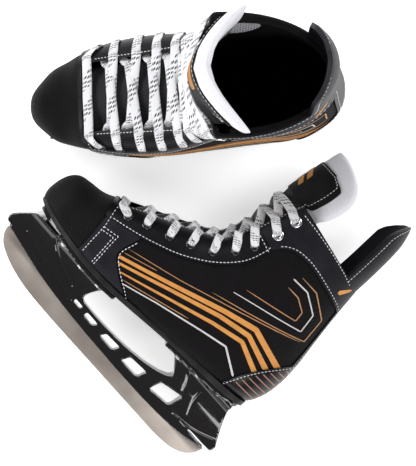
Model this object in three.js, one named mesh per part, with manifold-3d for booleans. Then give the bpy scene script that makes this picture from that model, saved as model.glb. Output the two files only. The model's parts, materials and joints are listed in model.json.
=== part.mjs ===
// A pair of recreational ice hockey skates, in millimetres, +Z up.
// The left skate lies on its side and the right skate stands on its runner beside it.
//
// One skate is modelled in its own frame: +X to the toe, +Y to the wearer's left, +Z up, with the
// origin on the ice under the middle of the runner. The boot is a stack of shells. Each shell lies
// between two sizes of one closed boot form, and a panel is the part of a shell that falls inside
// an outline drawn on the side view.
import * as THREE from "three";
import { mergeVertices } from "three/addons/utils/BufferGeometryUtils.js";
import Module from "manifold-3d";

const wasm = await Module();
wasm.setup();

// ---------------------------------------------------------------- driving dimensions

const BOOT_WIDTH = 105.2; // over the woven sides, at the widest place of the boot
const SKATE_HEIGHT = 323; // from the ice to the top of the tendon guard
const GAP = 0.3; // clearance between pieces that rest on each other
const QUARTER = 1.8; // the woven side wall of the boot
const OVERLAY = 1.5; // a leather panel sewn over the side wall
const LINER = 4.2; // the foam and cloth lining
const TOE_PUFF = 1.6; // the hard cap under the toe cloth
const BOARD = 2; // the lasting board that the upper is glued to
const FOOTBED = 4; // the loose insole
const FLANGE = 4.2; // the holder's plate under the sole
const BLADE = 3; // the steel runner
const BLADE_HIDDEN = 7; // how far the runner's steel stands up inside the holder
const EYELET_HOLE = 2.2; // bore radius
const EYELET_BARREL = 3.1; // outer radius of the tube through the facing
const EYELET_FLANGE = 4.4; // radius of a lower eyelet's rim
const TOP_EYELET_FLANGE = 5.6; // radius of the two large bright ones
const EYELET_LIFT = 1.3; // the rim's underside above the facing, at the middle of the eyelet. It is
// more where the facing beside the eyelet stands higher.
const EYELET_RIM = 1; // thickness of the rim
const TAPE = 0.8; // thickness of the tape that joins a row of eyelets behind the facing
const TAPE_HALF = 2.6; // half its width
const TAPE_DEPTH = 4.3; // how far its back lies behind the woven wall
const LACE_WIDTH = 7.5;
const LACE = 1.3; // lace thickness
const LACE_OVER_EDGE = 0.4 * LACE_WIDTH; // its height over the facing's edge, whose curve it spans
const LACE_OVER_TONGUE = 9.5;
const LACE_CORNER = 5; // it turns the facing's corner this far outside the lacing gap
const LACE_TURN = 8; // and turns back beside an eyelet this far outside
const LACE_SPREAD = 0.25; // share of the way up to the next eyelet where it crosses the facing's edge
const TONGUE = 5; // thickness behind the laces
const TONGUE_TOP = 8.5; // thickness of the felt above the boot
const TONGUE_CLEAR = 2; // between the tongue and the lacing edges
const TONGUE_CURVE = 1.6; // how the tongue curves back from its middle: 1 is a tent, 2 a parabola
const BADGE = 1.2; // the patch on the tongue
const GUARD = 4.5; // thickness of the tendon guard
const RIVET = 2.4; // shank radius
const RIVET_HEAD = 4.4; // radius of its head
const RIVET_HEAD_HIGH = 1.8;
const BOLT = 2.5; // shank radius of a runner bolt
const BOLT_HEAD = 5.1; // radius of its head
const BOLT_HEAD_HIGH = 4;
const RING = 12; // points round the boot form
const TONGUE_RINGS = 9;
const ROUND = 6; // sides of a small round piece

const FORM_WIDTH = 105.2; // the width that the tables below are drawn for

// The boot form at twenty stations from the toe to the top of the cuff. Each one is a plane that
// holds an upper point on the toe and instep, and a lower point on the sole, heel or tendon:
// [upper x, upper z, lower x, lower z, half width, share of the height at which it is widest,
//  squareness above that, squareness below it].
const STATIONS = [
  [146.6, 88, 146.6, 83, 0.6, 0.5, 2, 2],
  [145.6, 97, 145.2, 77.5, 9, 0.45, 2, 2.2],
  [142, 107, 142, 73.2, 15.5, 0.4, 2.1, 3],
  [135, 114, 135, 71.8, 23, 0.38, 2.2, 4],
  [124, 117, 124, 70.5, 33, 0.35, 2.3, 5],
  [109, 120, 109, 69, 39.5, 0.33, 2.4, 6],
  [96, 126, 92, 68.1, 44.5, 0.32, 3.5, 6],
  [72, 139, 68, 67.6, 49.5, 0.32, 4, 6],
  [45, 153, 42, 68.8, 52.4, 0.32, 4.5, 6],
  [20, 167.5, 12, 72, 52.6, 0.3, 5, 6],
  [4, 178, -25, 75.8, 50, 0.3, 6, 6],
  [-2.5, 190, -65, 79.4, 47, 0.32, 7, 5],
  [-6, 201, -105, 83.6, 45, 0.35, 8, 4],
  [-9, 209, -132, 87.5, 44, 0.45, 8, 2.8],
  [-12, 217, -143, 107, 44.5, 0.55, 8, 2.3],
  [-14.5, 225, -145, 130, 45.5, 0.6, 8, 2.2],
  [-17, 233, -142.3, 153, 46.5, 0.65, 8, 2.2],
  [-19.5, 241, -136.5, 180, 47.5, 0.7, 8, 2.2],
  [-22, 248.5, -130.5, 210, 49, 0.78, 8, 2.1],
  [-25, 256, -125.5, 241, 49.6, 0.85, 8, 2],
];
const STATION_HALF = 4; // the column of the half widths
for (const row of STATIONS) row[STATION_HALF] *= BOOT_WIDTH / FORM_WIDTH;
const CUFF = STATIONS.length - 1; // the station at the top of the cuff
// The stations of the shells' rings.
const CUTS = [0, 1, 2.5, 4, 5, 6, 7.5, 9, 10.5, 12, 13, 14, 15.5, 17.2, CUFF];
const HEEL = 13; // from this station on, the lower point is on the back of the heel
const THROAT = 6; // where the lacing starts
const TOE_SWAY = 4; // the toe leans this far to the inner side
const TOE_SWAY_FROM = 90;

// Half the width of the lacing gap, at the throat and at the cuff.
const GAP_AT_THROAT = (31 * BOOT_WIDTH) / FORM_WIDTH;
const GAP_AT_CUFF = (41 * BOOT_WIDTH) / FORM_WIDTH;

// How far the tongue stands out of the line of the lacing edges, from the throat to the cuff.
const TONGUE_RISE = [-5, -5, -5, -5, -4.5, -1.5, 2, 5, 8, 10.5, 13, 15, 17, 19];
const TONGUE_SAG = [14, 14.5, 15, 16, 17, 19, 22, 25, 27, 29, 31, 33, 34, 35];
// The tongue above the cuff: [front x, z, half width, how far its edges curve back].
const TONGUE_UPPER = [
  [-5.4, 252, 41, 34],
  [-6.2, 262, 44, 36],
  [-7.6, 276, 49.5, 37],
  [-9.2, 291, 50, 35],
  [-10.8, 303, 45, 29],
  [-12.2, 312, 35, 19],
  [-13, 318, 21, 9],
];

// The line where the upper meets the sole, and the underside of the sole, from toe to heel.
const SOLE_TOP = [[160, 78.2], [120, 72.6], [90, 70.6], [60, 70.1], [30, 72], [0, 75.4],
  [-90, 84.5], [-136, 89.6], [-160, 92]];
const SOLE_UNDER = [[160, 77], [138, 71], [100, 66.4], [76, 64.6], [52, 64.8], [28, 67],
  [-38, 74.2], [-100, 79], [-131, 83.4], [-160, 86]];
// Half the width of the sole against x.
const SOLE_HALF = [[142.5, 4], [138, 17], [126, 28.5], [108, 37], [84, 43.4], [42, 48], [16, 47.4],
  [-34, 40], [-70, 36], [-112, 33.6], [-127, 28.5], [-134, 19], [-136.8, 7]];

for (const point of SOLE_HALF) point[1] *= BOOT_WIDTH / FORM_WIDTH;
for (const row of TONGUE_UPPER) row[2] *= BOOT_WIDTH / FORM_WIDTH;

// Where the holder's plastic ends and the bare steel starts, and the lower edge of the steel.
const HOLDER_EDGE = [[146, 31.5], [130, 28.5], [108, 24.4], [85, 20.8], [55, 18], [20, 16.2],
  [-25, 15.2], [-70, 15.3], [-100, 16.8], [-125, 20], [-148, 26]];
const RUNNER_EDGE = [[144.4, 29], [141.5, 23.5], [135.5, 17], [126, 11.4], [114, 6.8], [98, 3],
  [78, 1.1], [50, 0], [-100, 0], [-117, 1.4], [-128, 4.2], [-137, 9], [-143.5, 16.5], [-146, 24]];
const RUNNER_TABS = [92, -104]; // the steel's two lugs, held down by the bolts
const TAB_HALF = 9;
const TAB_RISE = 13; // above the holder's edge

// The holder seen from the side. Its towers carry the plates under the ball and the heel.
const TOWERS = [[148.6, 32.5], [151.6, 36], [152, 40.5], [150, 44], [133, 64], [36, 63], [41, 55],
  [45, 45], [45.5, 40], [43.5, 36.6], [40, 35], [10, 34.6], [-20, 36.4], [-42, 39.8], [-58, 44.2],
  [-67, 48.4], [-70, 52], [-68.6, 55.6], [-60, 63.4], [-50, 72.5], [-60, 74], [-127, 82],
  [-130, 71], [-140, 54.5], [-149, 41.5], [-152.6, 36.5], [-152.8, 32], [-150.4, 28.4]];
// The five windows in the beam between the towers.
const WINDOWS = [
  [[49.5, 31.8], [38, 31.5], [39.5, 27.6], [48, 27.9]],
  [[31.5, 31.2], [15, 31], [19, 25.6], [32, 26.4]],
  [[3, 31.2], [-16, 32], [-12, 24.4], [7, 24.8]],
  [[-29.5, 33.4], [-51.5, 35.4], [-48, 24.6], [-25.5, 24.2]],
  [[-68, 39.6], [-93, 46], [-90, 29], [-65, 26]],
];
// Half the holder's width against z, for the front and the rear tower.
const FRONT_TAPER = [[5.2, 0], [6.6, 28], [6.6, 36], [12, 48], [22, 62], [39, 66], [39, 90]];
const REAR_TAPER = [[5.2, 0], [6.6, 28], [6.6, 38], [12, 56], [19, 70], [31, 80], [31, 95]];
for (const row of [...FRONT_TAPER, ...REAR_TAPER]) row[0] *= BOOT_WIDTH / FORM_WIDTH;
const FRONT_PLATE = [28, 137]; // x of the two ends of each plate
const REAR_PLATE = [-131.5, -38];
const PLATE_INSET = 3.5; // the plates are this much narrower than the sole
const FRONT_RIVETS = [121, 96, 70, 46];
const REAR_RIVETS = [-58, -84, -111];
const RIVET_INSET = 11; // from the sole's edge
const STRIP = 0.9; // thickness of the metal strip that each group of rivets is clenched on
const STRIP_INSET = 5;
const POCKET = 14; // depth of the hollows in the towers that clear the rivet heads

// Outlines on the side view. Panels that meet keep GAP between them.
const TOE_SEAM = [[99, 150], [98.4, 130], [96.6, 121], [93, 112], [89.6, 104], [87, 90]];
const FACING_SEAM = [[84, 112.6], [55, 121.8], [40, 127.8], [20, 136.8], [0, 149.8], [-21, 170],
  [-32, 191], [-34.4, 205.6]];
const FACING_TOP = [[-10, 211.4], [20, 219]]; // ends the facing under the cuff
const CUFF_SEAM = [[-38, 211.4], [-43, 217], [-50, 221.4], [-60, 223.8], [-75, 224], [-120, 216.8],
  [-129, 213.6], [-160, 204]];
const VAMP_SEAM = [[55, 121.2], [57, 112], [59, 100], [56, 92], [40, 81.4], [20, 70]];
const COUNTER_SEAM = [[-101, 70], [-101.4, 88], [-104, 98], [-116, 121.5], [-135, 144.6], [-160, 164]];
const BACKSTAY_EDGE = [[-124.6, 230], [-131.4, 188], [-137.4, 140]];
const LINER_EDGE = [[96, 96], [90, 108], [55, 119.5], [20, 134.5], [-12, 157.5], [-33, 186], [-43, 208],
  [-44.5, 300]];
const GUARD_OUTLINE = [[-135, 241.9], [-104, 246.5], [-103.2, 268], [-102.2, SKATE_HEIGHT - 33],
  [-101.4, SKATE_HEIGHT - 22], [-106, SKATE_HEIGHT - 11], [-111.6, SKATE_HEIGHT], [-135, SKATE_HEIGHT]];
// The back of the tendon guard against z: [x, z, half width, half depth].
const GUARD_RINGS = [[-124.6, 240, 37, 42], [-124.4, 262, 37, 42], [-122.8, SKATE_HEIGHT - 38, 37, 42],
  [-120.6, SKATE_HEIGHT - 20, 36, 40], [-116.6, SKATE_HEIGHT - 7, 33, 37],
  [-112.6, SKATE_HEIGHT + 1, 28, 33], [-110.6, SKATE_HEIGHT + 4, 20, 26]];
for (const row of GUARD_RINGS) row[2] *= BOOT_WIDTH / FORM_WIDTH;

// The lacing: nine eyelets a side, [x, z] on the side view. The two highest are the large ones.
const EYELETS = [[77.6, 125.6], [60.4, 133.6], [38.8, 143], [20, 152.7], [1.2, 163.9], [-12.6, 180.1],
  [-21.8, 196.5], [-27.8, 220], [-29.4, 240.8]];
const LARGE_EYELETS = 2;

// How the pair is set down. The lying skate rests on its ball, heel and cuff.
const LYING_TILT = 5.8; // degrees about the skate's own z
const LYING_ROLL = 1.7; // degrees about the skate's own x
const STANDING_HEADING = 50.7; // degrees from the lying skate's toe direction
const STANDING_AT = [121.9, -237.2]; // from the lying skate's origin

// ---------------------------------------------------------------- solids

// A closed geometry as a solid that can be joined and cut.
function solid(geometry) {
  const bare = geometry.clone();
  for (const name of Object.keys(bare.attributes)) {
    if (name !== "position") bare.deleteAttribute(name);
  }
  const merged = mergeVertices(bare, 1e-4);
  return new wasm.Manifold(
    new wasm.Mesh({
      numProp: 3,
      vertProperties: merged.attributes.position.array,
      triVerts: new Uint32Array(merged.index.array),
    }),
  );
}

// A solid as a geometry with flat faces.
function geometryOf(manifold) {
  const mesh = manifold.getMesh();
  const geometry = new THREE.BufferGeometry();
  geometry.setAttribute("position", new THREE.BufferAttribute(mesh.vertProperties.slice(), 3));
  geometry.setIndex(new THREE.BufferAttribute(mesh.triVerts.slice(), 1));
  const flat = geometry.toNonIndexed();
  flat.computeVertexNormals();
  return flat;
}

// A solid lofted through rings of points, all with the same even count. Each end is closed by a
// strip between the two halves of its ring, so a crescent closes as well as an oval.
function loft(rings) {
  const count = rings[0].length;
  const points = rings.flat();
  const faces = [];
  rings.slice(1).forEach((_, r) => {
    for (let i = 0; i < count; i++) {
      const a = r * count + i;
      const b = r * count + ((i + 1) % count);
      faces.push([a, b, b + count], [a, b + count, a + count]);
    }
  });
  for (const [start, turned] of [[0, true], [(rings.length - 1) * count, false]]) {
    for (let i = 0; i < count / 2 - 1; i++) {
      const [a, b, c, d] = [i, i + 1, count - 2 - i, count - 1 - i].map((k) => start + k);
      for (const face of [[a, b, c], [a, c, d]]) faces.push(turned ? face.reverse() : face);
    }
  }
  const volume = faces.reduce((sum, [a, b, c]) => {
    return sum + points[a].dot(new THREE.Vector3().crossVectors(points[b], points[c])) / 6;
  }, 0);
  const index = faces.flatMap((f) => (volume < 0 ? [...f].reverse() : f));
  const geometry = new THREE.BufferGeometry().setFromPoints(points);
  geometry.setIndex(index);
  return solid(geometry);
}

const intersect = (a, b) => a.intersect(b);
const join = (pieces) => pieces.reduce((a, b) => a.add(b));
const WIDE = 90; // beyond any half width

// The solid behind an outline on the side view, between two values of y.
function sidePrism(outline, yLow = -WIDE, yHigh = WIDE) {
  const shape = new THREE.Shape(outline.map(([x, z]) => new THREE.Vector2(x, z)));
  const geometry = new THREE.ExtrudeGeometry(shape, { depth: yHigh - yLow, bevelEnabled: false });
  return solid(geometry.rotateX(Math.PI / 2).translate(0, yHigh, 0));
}

// The solid over an outline on the plan view, between two values of z.
function planPrism(outline, zLow, zHigh) {
  const shape = new THREE.Shape(outline.map(([x, y]) => new THREE.Vector2(x, y)));
  const geometry = new THREE.ExtrudeGeometry(shape, { depth: zHigh - zLow, bevelEnabled: false });
  return solid(geometry.translate(0, 0, zLow));
}

// A round bar between two points.
function bar(from, to, radius, sides = ROUND) {
  const way = new THREE.Vector3().subVectors(to, from);
  const geometry = new THREE.CylinderGeometry(radius, radius, way.length(), sides);
  geometry.translate(0, way.length() / 2, 0);
  const turn = new THREE.Quaternion().setFromUnitVectors(new THREE.Vector3(0, 1, 0), way.normalize());
  return solid(geometry.applyQuaternion(turn).translate(from.x, from.y, from.z));
}

// An upright round bar.
const upright = (x, y, low, high, radius) => {
  return bar(new THREE.Vector3(x, y, low), new THREE.Vector3(x, y, high), radius);
};

// The height of a line of [x, z] points at x. The points run from the toe to the heel.
function heightAt(line, x) {
  const i = Math.max(1, line.findIndex((p) => p[0] <= x));
  const [[x0, z0], [x1, z1]] = [line[i - 1], line[i]];
  return z0 + ((x - x0) / (x1 - x0)) * (z1 - z0);
}

const raised = (line, by) => line.map(([x, z]) => [x, z + by]);
const reversed = (line) => [...line].reverse();

// An open line on the side view, moved to its own left.
function beside(line, by) {
  return line.map(([x, z], i) => {
    const [x0, z0] = line[Math.max(0, i - 1)];
    const [x1, z1] = line[Math.min(line.length - 1, i + 1)];
    const length = Math.hypot(x1 - x0, z1 - z0);
    return [x - (by * (z1 - z0)) / length, z + (by * (x1 - x0)) / length];
  });
}

// ---------------------------------------------------------------- the boot form

// A smooth value through evenly numbered ones, at a position that may run past either end.
function smooth(values, position) {
  const i = Math.min(Math.max(Math.floor(position), 0), values.length - 2);
  const f = position - i;
  const at = (k) => {
    if (k < 0) return 2 * values[0] - values[1];
    if (k >= values.length) return 2 * values[values.length - 1] - values[values.length - 2];
    return values[k];
  };
  const [a, b, c, d] = [at(i - 1), at(i), at(i + 1), at(i + 2)];
  if (f > 1) return c + (f - 1) * (c - b);
  return b + 0.5 * f * (c - a + f * (2 * a - 5 * b + 4 * c - d + f * (3 * (b - c) + d - a)));
}

// One plane of the boot form, grown by an offset. Over the sole only its sides grow.
function sectionAt(t, offset = 0) {
  const [ux, uz, lx, lz, half, widest, above, below] = STATIONS[0].map((_, column) => {
    return smooth(STATIONS.map((row) => row[column]), t);
  });
  const upper = new THREE.Vector2(ux, uz);
  const lower = new THREE.Vector2(lx, lz);
  const rise = new THREE.Vector2().subVectors(upper, lower).normalize();
  const nose = new THREE.Vector2(offset * Math.max(0, 1 - t / 4), 0);
  const heelShare = THREE.MathUtils.smoothstep(t, HEEL - 1, HEEL + 1);
  upper.addScaledVector(rise, offset).add(nose);
  lower.addScaledVector(rise, -offset * heelShare).add(nose);
  return { upper, lower, rise, half: Math.max(half + offset, 0.5), widest, above, below };
}

// A point of the form: turn runs from -90 at the lower point over 0 at the widest to 90 on top.
function pointAt(section, turn, sign, hand) {
  const angle = THREE.MathUtils.degToRad(turn);
  const power = 2 / (turn > 0 ? section.above : section.below);
  const reach = turn > 0 ? 1 - section.widest : section.widest;
  const share = section.widest + Math.sign(turn) * reach * Math.abs(Math.sin(angle)) ** power;
  const side = new THREE.Vector2().lerpVectors(section.lower, section.upper, share);
  const out = Math.abs(turn) === 90 ? 0 : section.half * Math.cos(angle) ** power;
  return new THREE.Vector3(side.x, sign * out + sway(side.x, hand), side.y);
}

const sway = (x, hand) => -hand * TOE_SWAY * THREE.MathUtils.smoothstep(x, TOE_SWAY_FROM, 150);

// The closed form grown by an offset, between two stations. Past the cuff it runs straight on.
function form(offset, hand, from = 0, to = CUFF) {
  const stops = [from, ...CUTS.filter((t) => t > from && t < to), to];
  const quarter = RING / 4;
  return loft(
    stops.map((t) => {
      const section = sectionAt(t, offset);
      return Array.from({ length: RING }, (_, i) => {
        const sign = i <= RING / 2 ? 1 : -1;
        const step = i <= RING / 2 ? i : RING - i;
        return pointAt(section, (90 * (step - quarter)) / quarter, sign, hand);
      });
    }),
  );
}

// Half the width of the lacing gap at a station.
const gapHalf = (t) => {
  const share = (t - THROAT) / (CUFF - THROAT);
  return THREE.MathUtils.lerp(GAP_AT_THROAT, GAP_AT_CUFF, share);
};

// What is cut out of every shell along the instep, to open the lacing gap.
function throatCutter(hand) {
  const rings = [];
  for (let t = THROAT + 0.1; t <= CUFF + 2; t += 1) {
    const { upper, rise } = sectionAt(t);
    const half = gapHalf(t);
    rings.push(
      [[-half, -16], [half, -16], [half, 30], [-half, 30]].map(([y, out]) => {
        const x = upper.x + rise.x * out;
        return new THREE.Vector3(x, y + sway(x, hand), upper.y + rise.y * out);
      }),
    );
  }
  return loft(rings);
}

// The station whose plane goes through a place on the side view.
function stationAt(x, z) {
  const place = new THREE.Vector2(x, z);
  let [low, high] = [THROAT - 1, CUFF + 0.5];
  for (let i = 0; i < 40; i++) {
    const t = (low + high) / 2;
    const { lower, rise } = sectionAt(t);
    if (new THREE.Vector2().subVectors(place, lower).cross(rise) < 0) low = t;
    else high = t;
  }
  return low;
}

// ---------------------------------------------------------------- one skate

function upperPanels(hand) {
  const outer = {
    base: form(0, hand),
    overlay: form(GAP + OVERLAY, hand, 4),
    lining: form(-QUARTER - GAP, hand, 1),
  };
  const inner = {
    base: form(-QUARTER, hand, 1, CUFF + 2),
    overlay: form(GAP, hand, 3, CUFF + 2),
    lining: form(-QUARTER - GAP - LINER, hand, 1, CUFF + 2),
    puff: form(-QUARTER - GAP - TOE_PUFF, hand, 1, CUFF + 2),
  };
  const throat = throatCutter(hand);
  const soleLine = SOLE_TOP.filter(([x]) => x > -150);
  const panel = (layer, outline, yLow, yHigh, core = layer) => {
    return intersect(outer[layer], sidePrism(outline, yLow, yHigh)).subtract(inner[core]);
  };
  const halves = { outer: hand, inner: -hand };
  const half = (sign) => (sign > 0 ? [GAP / 2, WIDE] : [-WIDE, -GAP / 2]);
  const made = {};

  const soleAt = (x) => [x, heightAt(SOLE_TOP, x)];
  const toeSeam = beside(TOE_SEAM, GAP);
  const soleAhead = SOLE_TOP.filter(([x]) => x > 87);
  made.toe_cap = panel("base", [[160, 150], ...toeSeam, soleAt(86.8), ...reversed(soleAhead)]);
  made.toe_puff = panel("lining", [[160, 150], [104, 150], [101, 76], [160, 80]], -WIDE, WIDE, "puff");

  const facingEdge = beside(FACING_SEAM, GAP);
  for (const [name, sign] of Object.entries(halves)) {
    const quarterOutline = [[90.6, 109.6], ...facingEdge.slice(0, -1), [-34.9, 206.2],
      ...raised(FACING_TOP, GAP), [20, 300], [-160, 300], [-160, 91.8],
      ...reversed(soleLine.filter(([x]) => x < 84)), soleAt(86), [87, 90], [89.4, 103]];
    made[`quarter_${name}`] = panel("base", quarterOutline, ...half(sign)).subtract(throat);
    const vampOutline = [soleAt(86.4), [87.4, 90], [89.8, 103.4], [91.4, 110.2],
      ...facingEdge.slice(0, 3), ...VAMP_SEAM.slice(1, -1), soleAt(24), soleAt(52)];
    made[`vamp_${name}`] = panel("overlay", vampOutline, ...half(sign));
    const facingOutline = [[98.8, 150], [98.4, 130], [96.6, 121], [92.4, 110.8], ...FACING_SEAM,
      ...FACING_TOP, [99, 250]];
    made[`facing_${name}`] = panel("overlay", facingOutline, ...half(sign), "base").subtract(throat);
  }

  const cuffOutline = [...raised(reversed(FACING_TOP), GAP), [-34.9, 206.2], ...CUFF_SEAM,
    [-160, 300], [20, 300]];
  made.cuff = panel("overlay", cuffOutline).subtract(throat);
  made.heel_counter = panel("overlay", [...COUNTER_SEAM.slice(1), [-160, 91.8], [-136, 89.6],
    soleAt(-101.2)]);
  made.backstay = panel("overlay", [...BACKSTAY_EDGE, [-160, 130], [-160, 230]])
    .subtract(sidePrism([...beside(CUFF_SEAM, GAP), [-160, 300], [0, 300]]))
    .subtract(sidePrism([...beside(COUNTER_SEAM, -GAP), [-160, 60], [-60, 60]]));

  const liningFoot = BOARD + FOOTBED + 10 * GAP;
  const liningEnd = LINER_EDGE[0][0];
  const liningLow = reversed(raised(soleLine, liningFoot)).filter(([x]) => x < liningEnd);
  const lining = [...LINER_EDGE, [-160, 300], [-160, 100], ...liningLow,
    [liningEnd, heightAt(SOLE_TOP, liningEnd) + liningFoot]];
  made.liner = panel("lining", lining).subtract(throat);

  const cavity = form(-QUARTER - 2 * GAP - LINER, hand, 1.6);
  const floor = (low, high) => {
    const outline = [...raised(soleLine, low), ...reversed(raised(soleLine, high))];
    return intersect(cavity, sidePrism(outline));
  };
  made.insole_board = floor(0, BOARD);
  made.footbed = floor(BOARD + GAP, BOARD + GAP + FOOTBED);
  return made;
}

// The plan outline of the sole, narrower by an inset, between two values of x.
function solePlan(inset, xLow, xHigh, hand) {
  const low = Math.max(xLow, SOLE_HALF.at(-1)[0]);
  const high = Math.min(xHigh, SOLE_HALF[0][0]);
  const inner = SOLE_HALF.filter(([x]) => x > low && x < high);
  const ends = [[high, heightAt(SOLE_HALF, high)], ...inner, [low, heightAt(SOLE_HALF, low)]];
  const left = ends.map(([x, half]) => [x, Math.max(half - inset, 2) + sway(x, hand)]);
  const right = ends.map(([x, half]) => [x, -Math.max(half - inset, 2) + sway(x, hand)]);
  return [...left, ...reversed(right)];
}

// The two rows of rivet places under one plate.
function rivetPlaces(xs, hand) {
  return xs.flatMap((x) => {
    const half = heightAt(SOLE_HALF, x) - RIVET_INSET;
    return [half, -half].map((y) => ({ x, y: y + sway(x, hand), under: heightAt(SOLE_UNDER, x) }));
  });
}

function soleParts(hand) {
  const made = {};
  const rivets = { front: rivetPlaces(FRONT_RIVETS, hand), rear: rivetPlaces(REAR_RIVETS, hand) };
  const all = Object.values(rivets).flat();
  const drilled = join(all.map(({ x, y, under }) => upright(x, y, under - 12, under + 20, RIVET + GAP)));
  const pockets = join(all.map(({ x, y, under }) => {
    const top = under - FLANGE - GAP;
    return upright(x, y, top - POCKET, top, RIVET_HEAD + 2 * GAP);
  }));

  // A strip of the sole's top between two ends and two depths, a little narrower than the sole.
  const strip = ([low, high], narrower, top, bottom) => {
    const line = SOLE_TOP.filter(([x]) => x > low && x < high);
    const outline = [[high, heightAt(SOLE_TOP, high)], ...line, [low, heightAt(SOLE_TOP, low)]];
    const slab = sidePrism([...raised(outline, top), ...reversed(raised(outline, bottom))]);
    return intersect(slab, planPrism(solePlan(narrower, low, high, hand), 50, 100));
  };
  const shorter = ([low, high], by) => [low + by, high - by];
  const spans = { front: shorter(FRONT_PLATE, 6), rear: shorter(REAR_PLATE, 6) };
  const profile = [...raised(SOLE_TOP, -GAP), ...reversed(SOLE_UNDER)];
  const recess = join(Object.values(spans).map((span) => {
    return strip(shorter(span, -GAP), STRIP_INSET - GAP, 1, -STRIP - 2 * GAP);
  }));
  made.outsole = intersect(sidePrism(profile), planPrism(solePlan(0, -150, 150, hand), 50, 110))
    .subtract(recess)
    .subtract(drilled);

  for (const [name, span] of Object.entries(spans)) {
    const plate = strip(span, STRIP_INSET, -GAP, -GAP - STRIP);
    const pins = rivets[name].map(({ x, y, under }) => {
      const head = under - FLANGE - 2 * GAP;
      const top = heightAt(SOLE_TOP, x) - GAP - 0.4;
      return join([
        upright(x, y, head - RIVET_HEAD_HIGH, head, RIVET_HEAD),
        upright(x, y, head - RIVET_HEAD_HIGH / 2, top, RIVET),
      ]);
    });
    made[`rivets_${name}`] = join([plate, ...pins]);
  }
  return { made, drilled, pockets };
}

function runnerParts(hand, drilled, pockets) {
  const made = {};
  const hidden = raised(HOLDER_EDGE, BLADE_HIDDEN).filter(([x]) => Math.abs(x) < 140);
  const tabs = RUNNER_TABS.map((x) => {
    const z = heightAt(HOLDER_EDGE, x);
    const [front, rear, top] = [x + TAB_HALF, x - TAB_HALF, z + TAB_RISE];
    return [[front, z], [front, top], [rear, top], [rear, z]];
  });
  const steel = [...RUNNER_EDGE, [-143, 27.5], ...reversed(hidden), [142, 31.5]];
  const half = BLADE / 2;
  made.runner = join([steel, ...tabs].map((outline) => sidePrism(outline, -half, half)));

  const slotHalf = half + GAP;
  const slotTop = raised(hidden, GAP);
  const tabRooms = RUNNER_TABS.map((x) => {
    const z = heightAt(HOLDER_EDGE, x);
    const [front, rear, top] = [x + TAB_HALF + GAP, x - TAB_HALF - GAP, z + TAB_RISE + GAP];
    return [[front, z], [front, top], [rear, top], [rear, z]];
  });
  const steelRoom = [[155, 0], [155, 32.5], [142, 31.5 + GAP], ...slotTop, [-143, 27.5 + GAP],
    [-158, 27.5], [-158, 0]];
  const slots = [steelRoom, ...tabRooms].map((outline) => sidePrism(outline, -slotHalf, slotHalf));

  const side = sidePrism([...TOWERS, ...reversed(HOLDER_EDGE)]);
  const taper = (outline, xLow, xHigh) => {
    const full = [...outline, ...reversed(outline).map(([y, z]) => [-y, z])];
    const shape = new THREE.Shape(full.map(([y, z]) => new THREE.Vector2(y, z)));
    const geometry = new THREE.ExtrudeGeometry(shape, { depth: xHigh - xLow, bevelEnabled: false });
    const turn = new THREE.Matrix4().set(0, 0, 1, xLow, 1, 0, 0, 0, 0, 1, 0, 0, 0, 0, 0, 1);
    return solid(geometry.applyMatrix4(turn));
  };
  const front = intersect(side, taper(FRONT_TAPER, -10, 160));
  const rear = intersect(side, taper(REAR_TAPER, -160, -10));
  const plates = [FRONT_PLATE, REAR_PLATE].map(([low, high]) => {
    const line = SOLE_UNDER.filter(([x]) => x > low && x < high);
    const ends = [[high, heightAt(SOLE_UNDER, high)], ...line, [low, heightAt(SOLE_UNDER, low)]];
    const strip = sidePrism([...raised(ends, -GAP), ...reversed(raised(ends, -GAP - FLANGE))], -60, 60);
    return intersect(strip, planPrism(solePlan(PLATE_INSET, low, high, hand), 40, 110));
  });
  const aboveSole = sidePrism([...raised(SOLE_UNDER, -GAP), [-160, 130], [160, 130]]);
  const windows = WINDOWS.map((outline) => sidePrism(outline));
  let holder = join([front, rear, ...plates]).subtract(aboveSole).subtract(drilled).subtract(pockets);
  for (const cut of [...slots, ...windows]) holder = holder.subtract(cut);

  RUNNER_TABS.forEach((x, i) => {
    const foot = heightAt(HOLDER_EDGE, x) + TAB_RISE + 2 * GAP;
    const under = heightAt(SOLE_UNDER, x) - GAP;
    const headTop = under - 1;
    const headLow = headTop - BOLT_HEAD_HIGH;
    holder = holder
      .subtract(upright(x, 0, foot - GAP, under + 2, BOLT + GAP))
      .subtract(upright(x, 0, headLow - GAP, under + 4, BOLT_HEAD + 0.8));
    made[`runner_bolt_${i ? "rear" : "front"}`] = join([
      upright(x, 0, foot, headLow + 0.1, BOLT),
      upright(x, 0, headLow, headTop, BOLT_HEAD),
    ]);
  });
  made.holder = holder;
  return made;
}

// How far a surface stands above a point on it, on a circle round that point.
function highestRound(surface, point, out, radius) {
  const across = new THREE.Vector3(1, 0, 0).cross(out).normalize();
  const heights = Array.from({ length: 2 * ROUND }, (_, i) => {
    const way = across.clone().applyAxisAngle(out, (Math.PI * i) / ROUND);
    const start = point.clone().addScaledVector(way, radius).addScaledVector(out, WIDE);
    const [hit] = new THREE.Raycaster(start, out.clone().negate()).intersectObject(surface);
    return hit ? WIDE - hit.distance : 0;
  });
  return Math.max(...heights);
}

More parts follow.
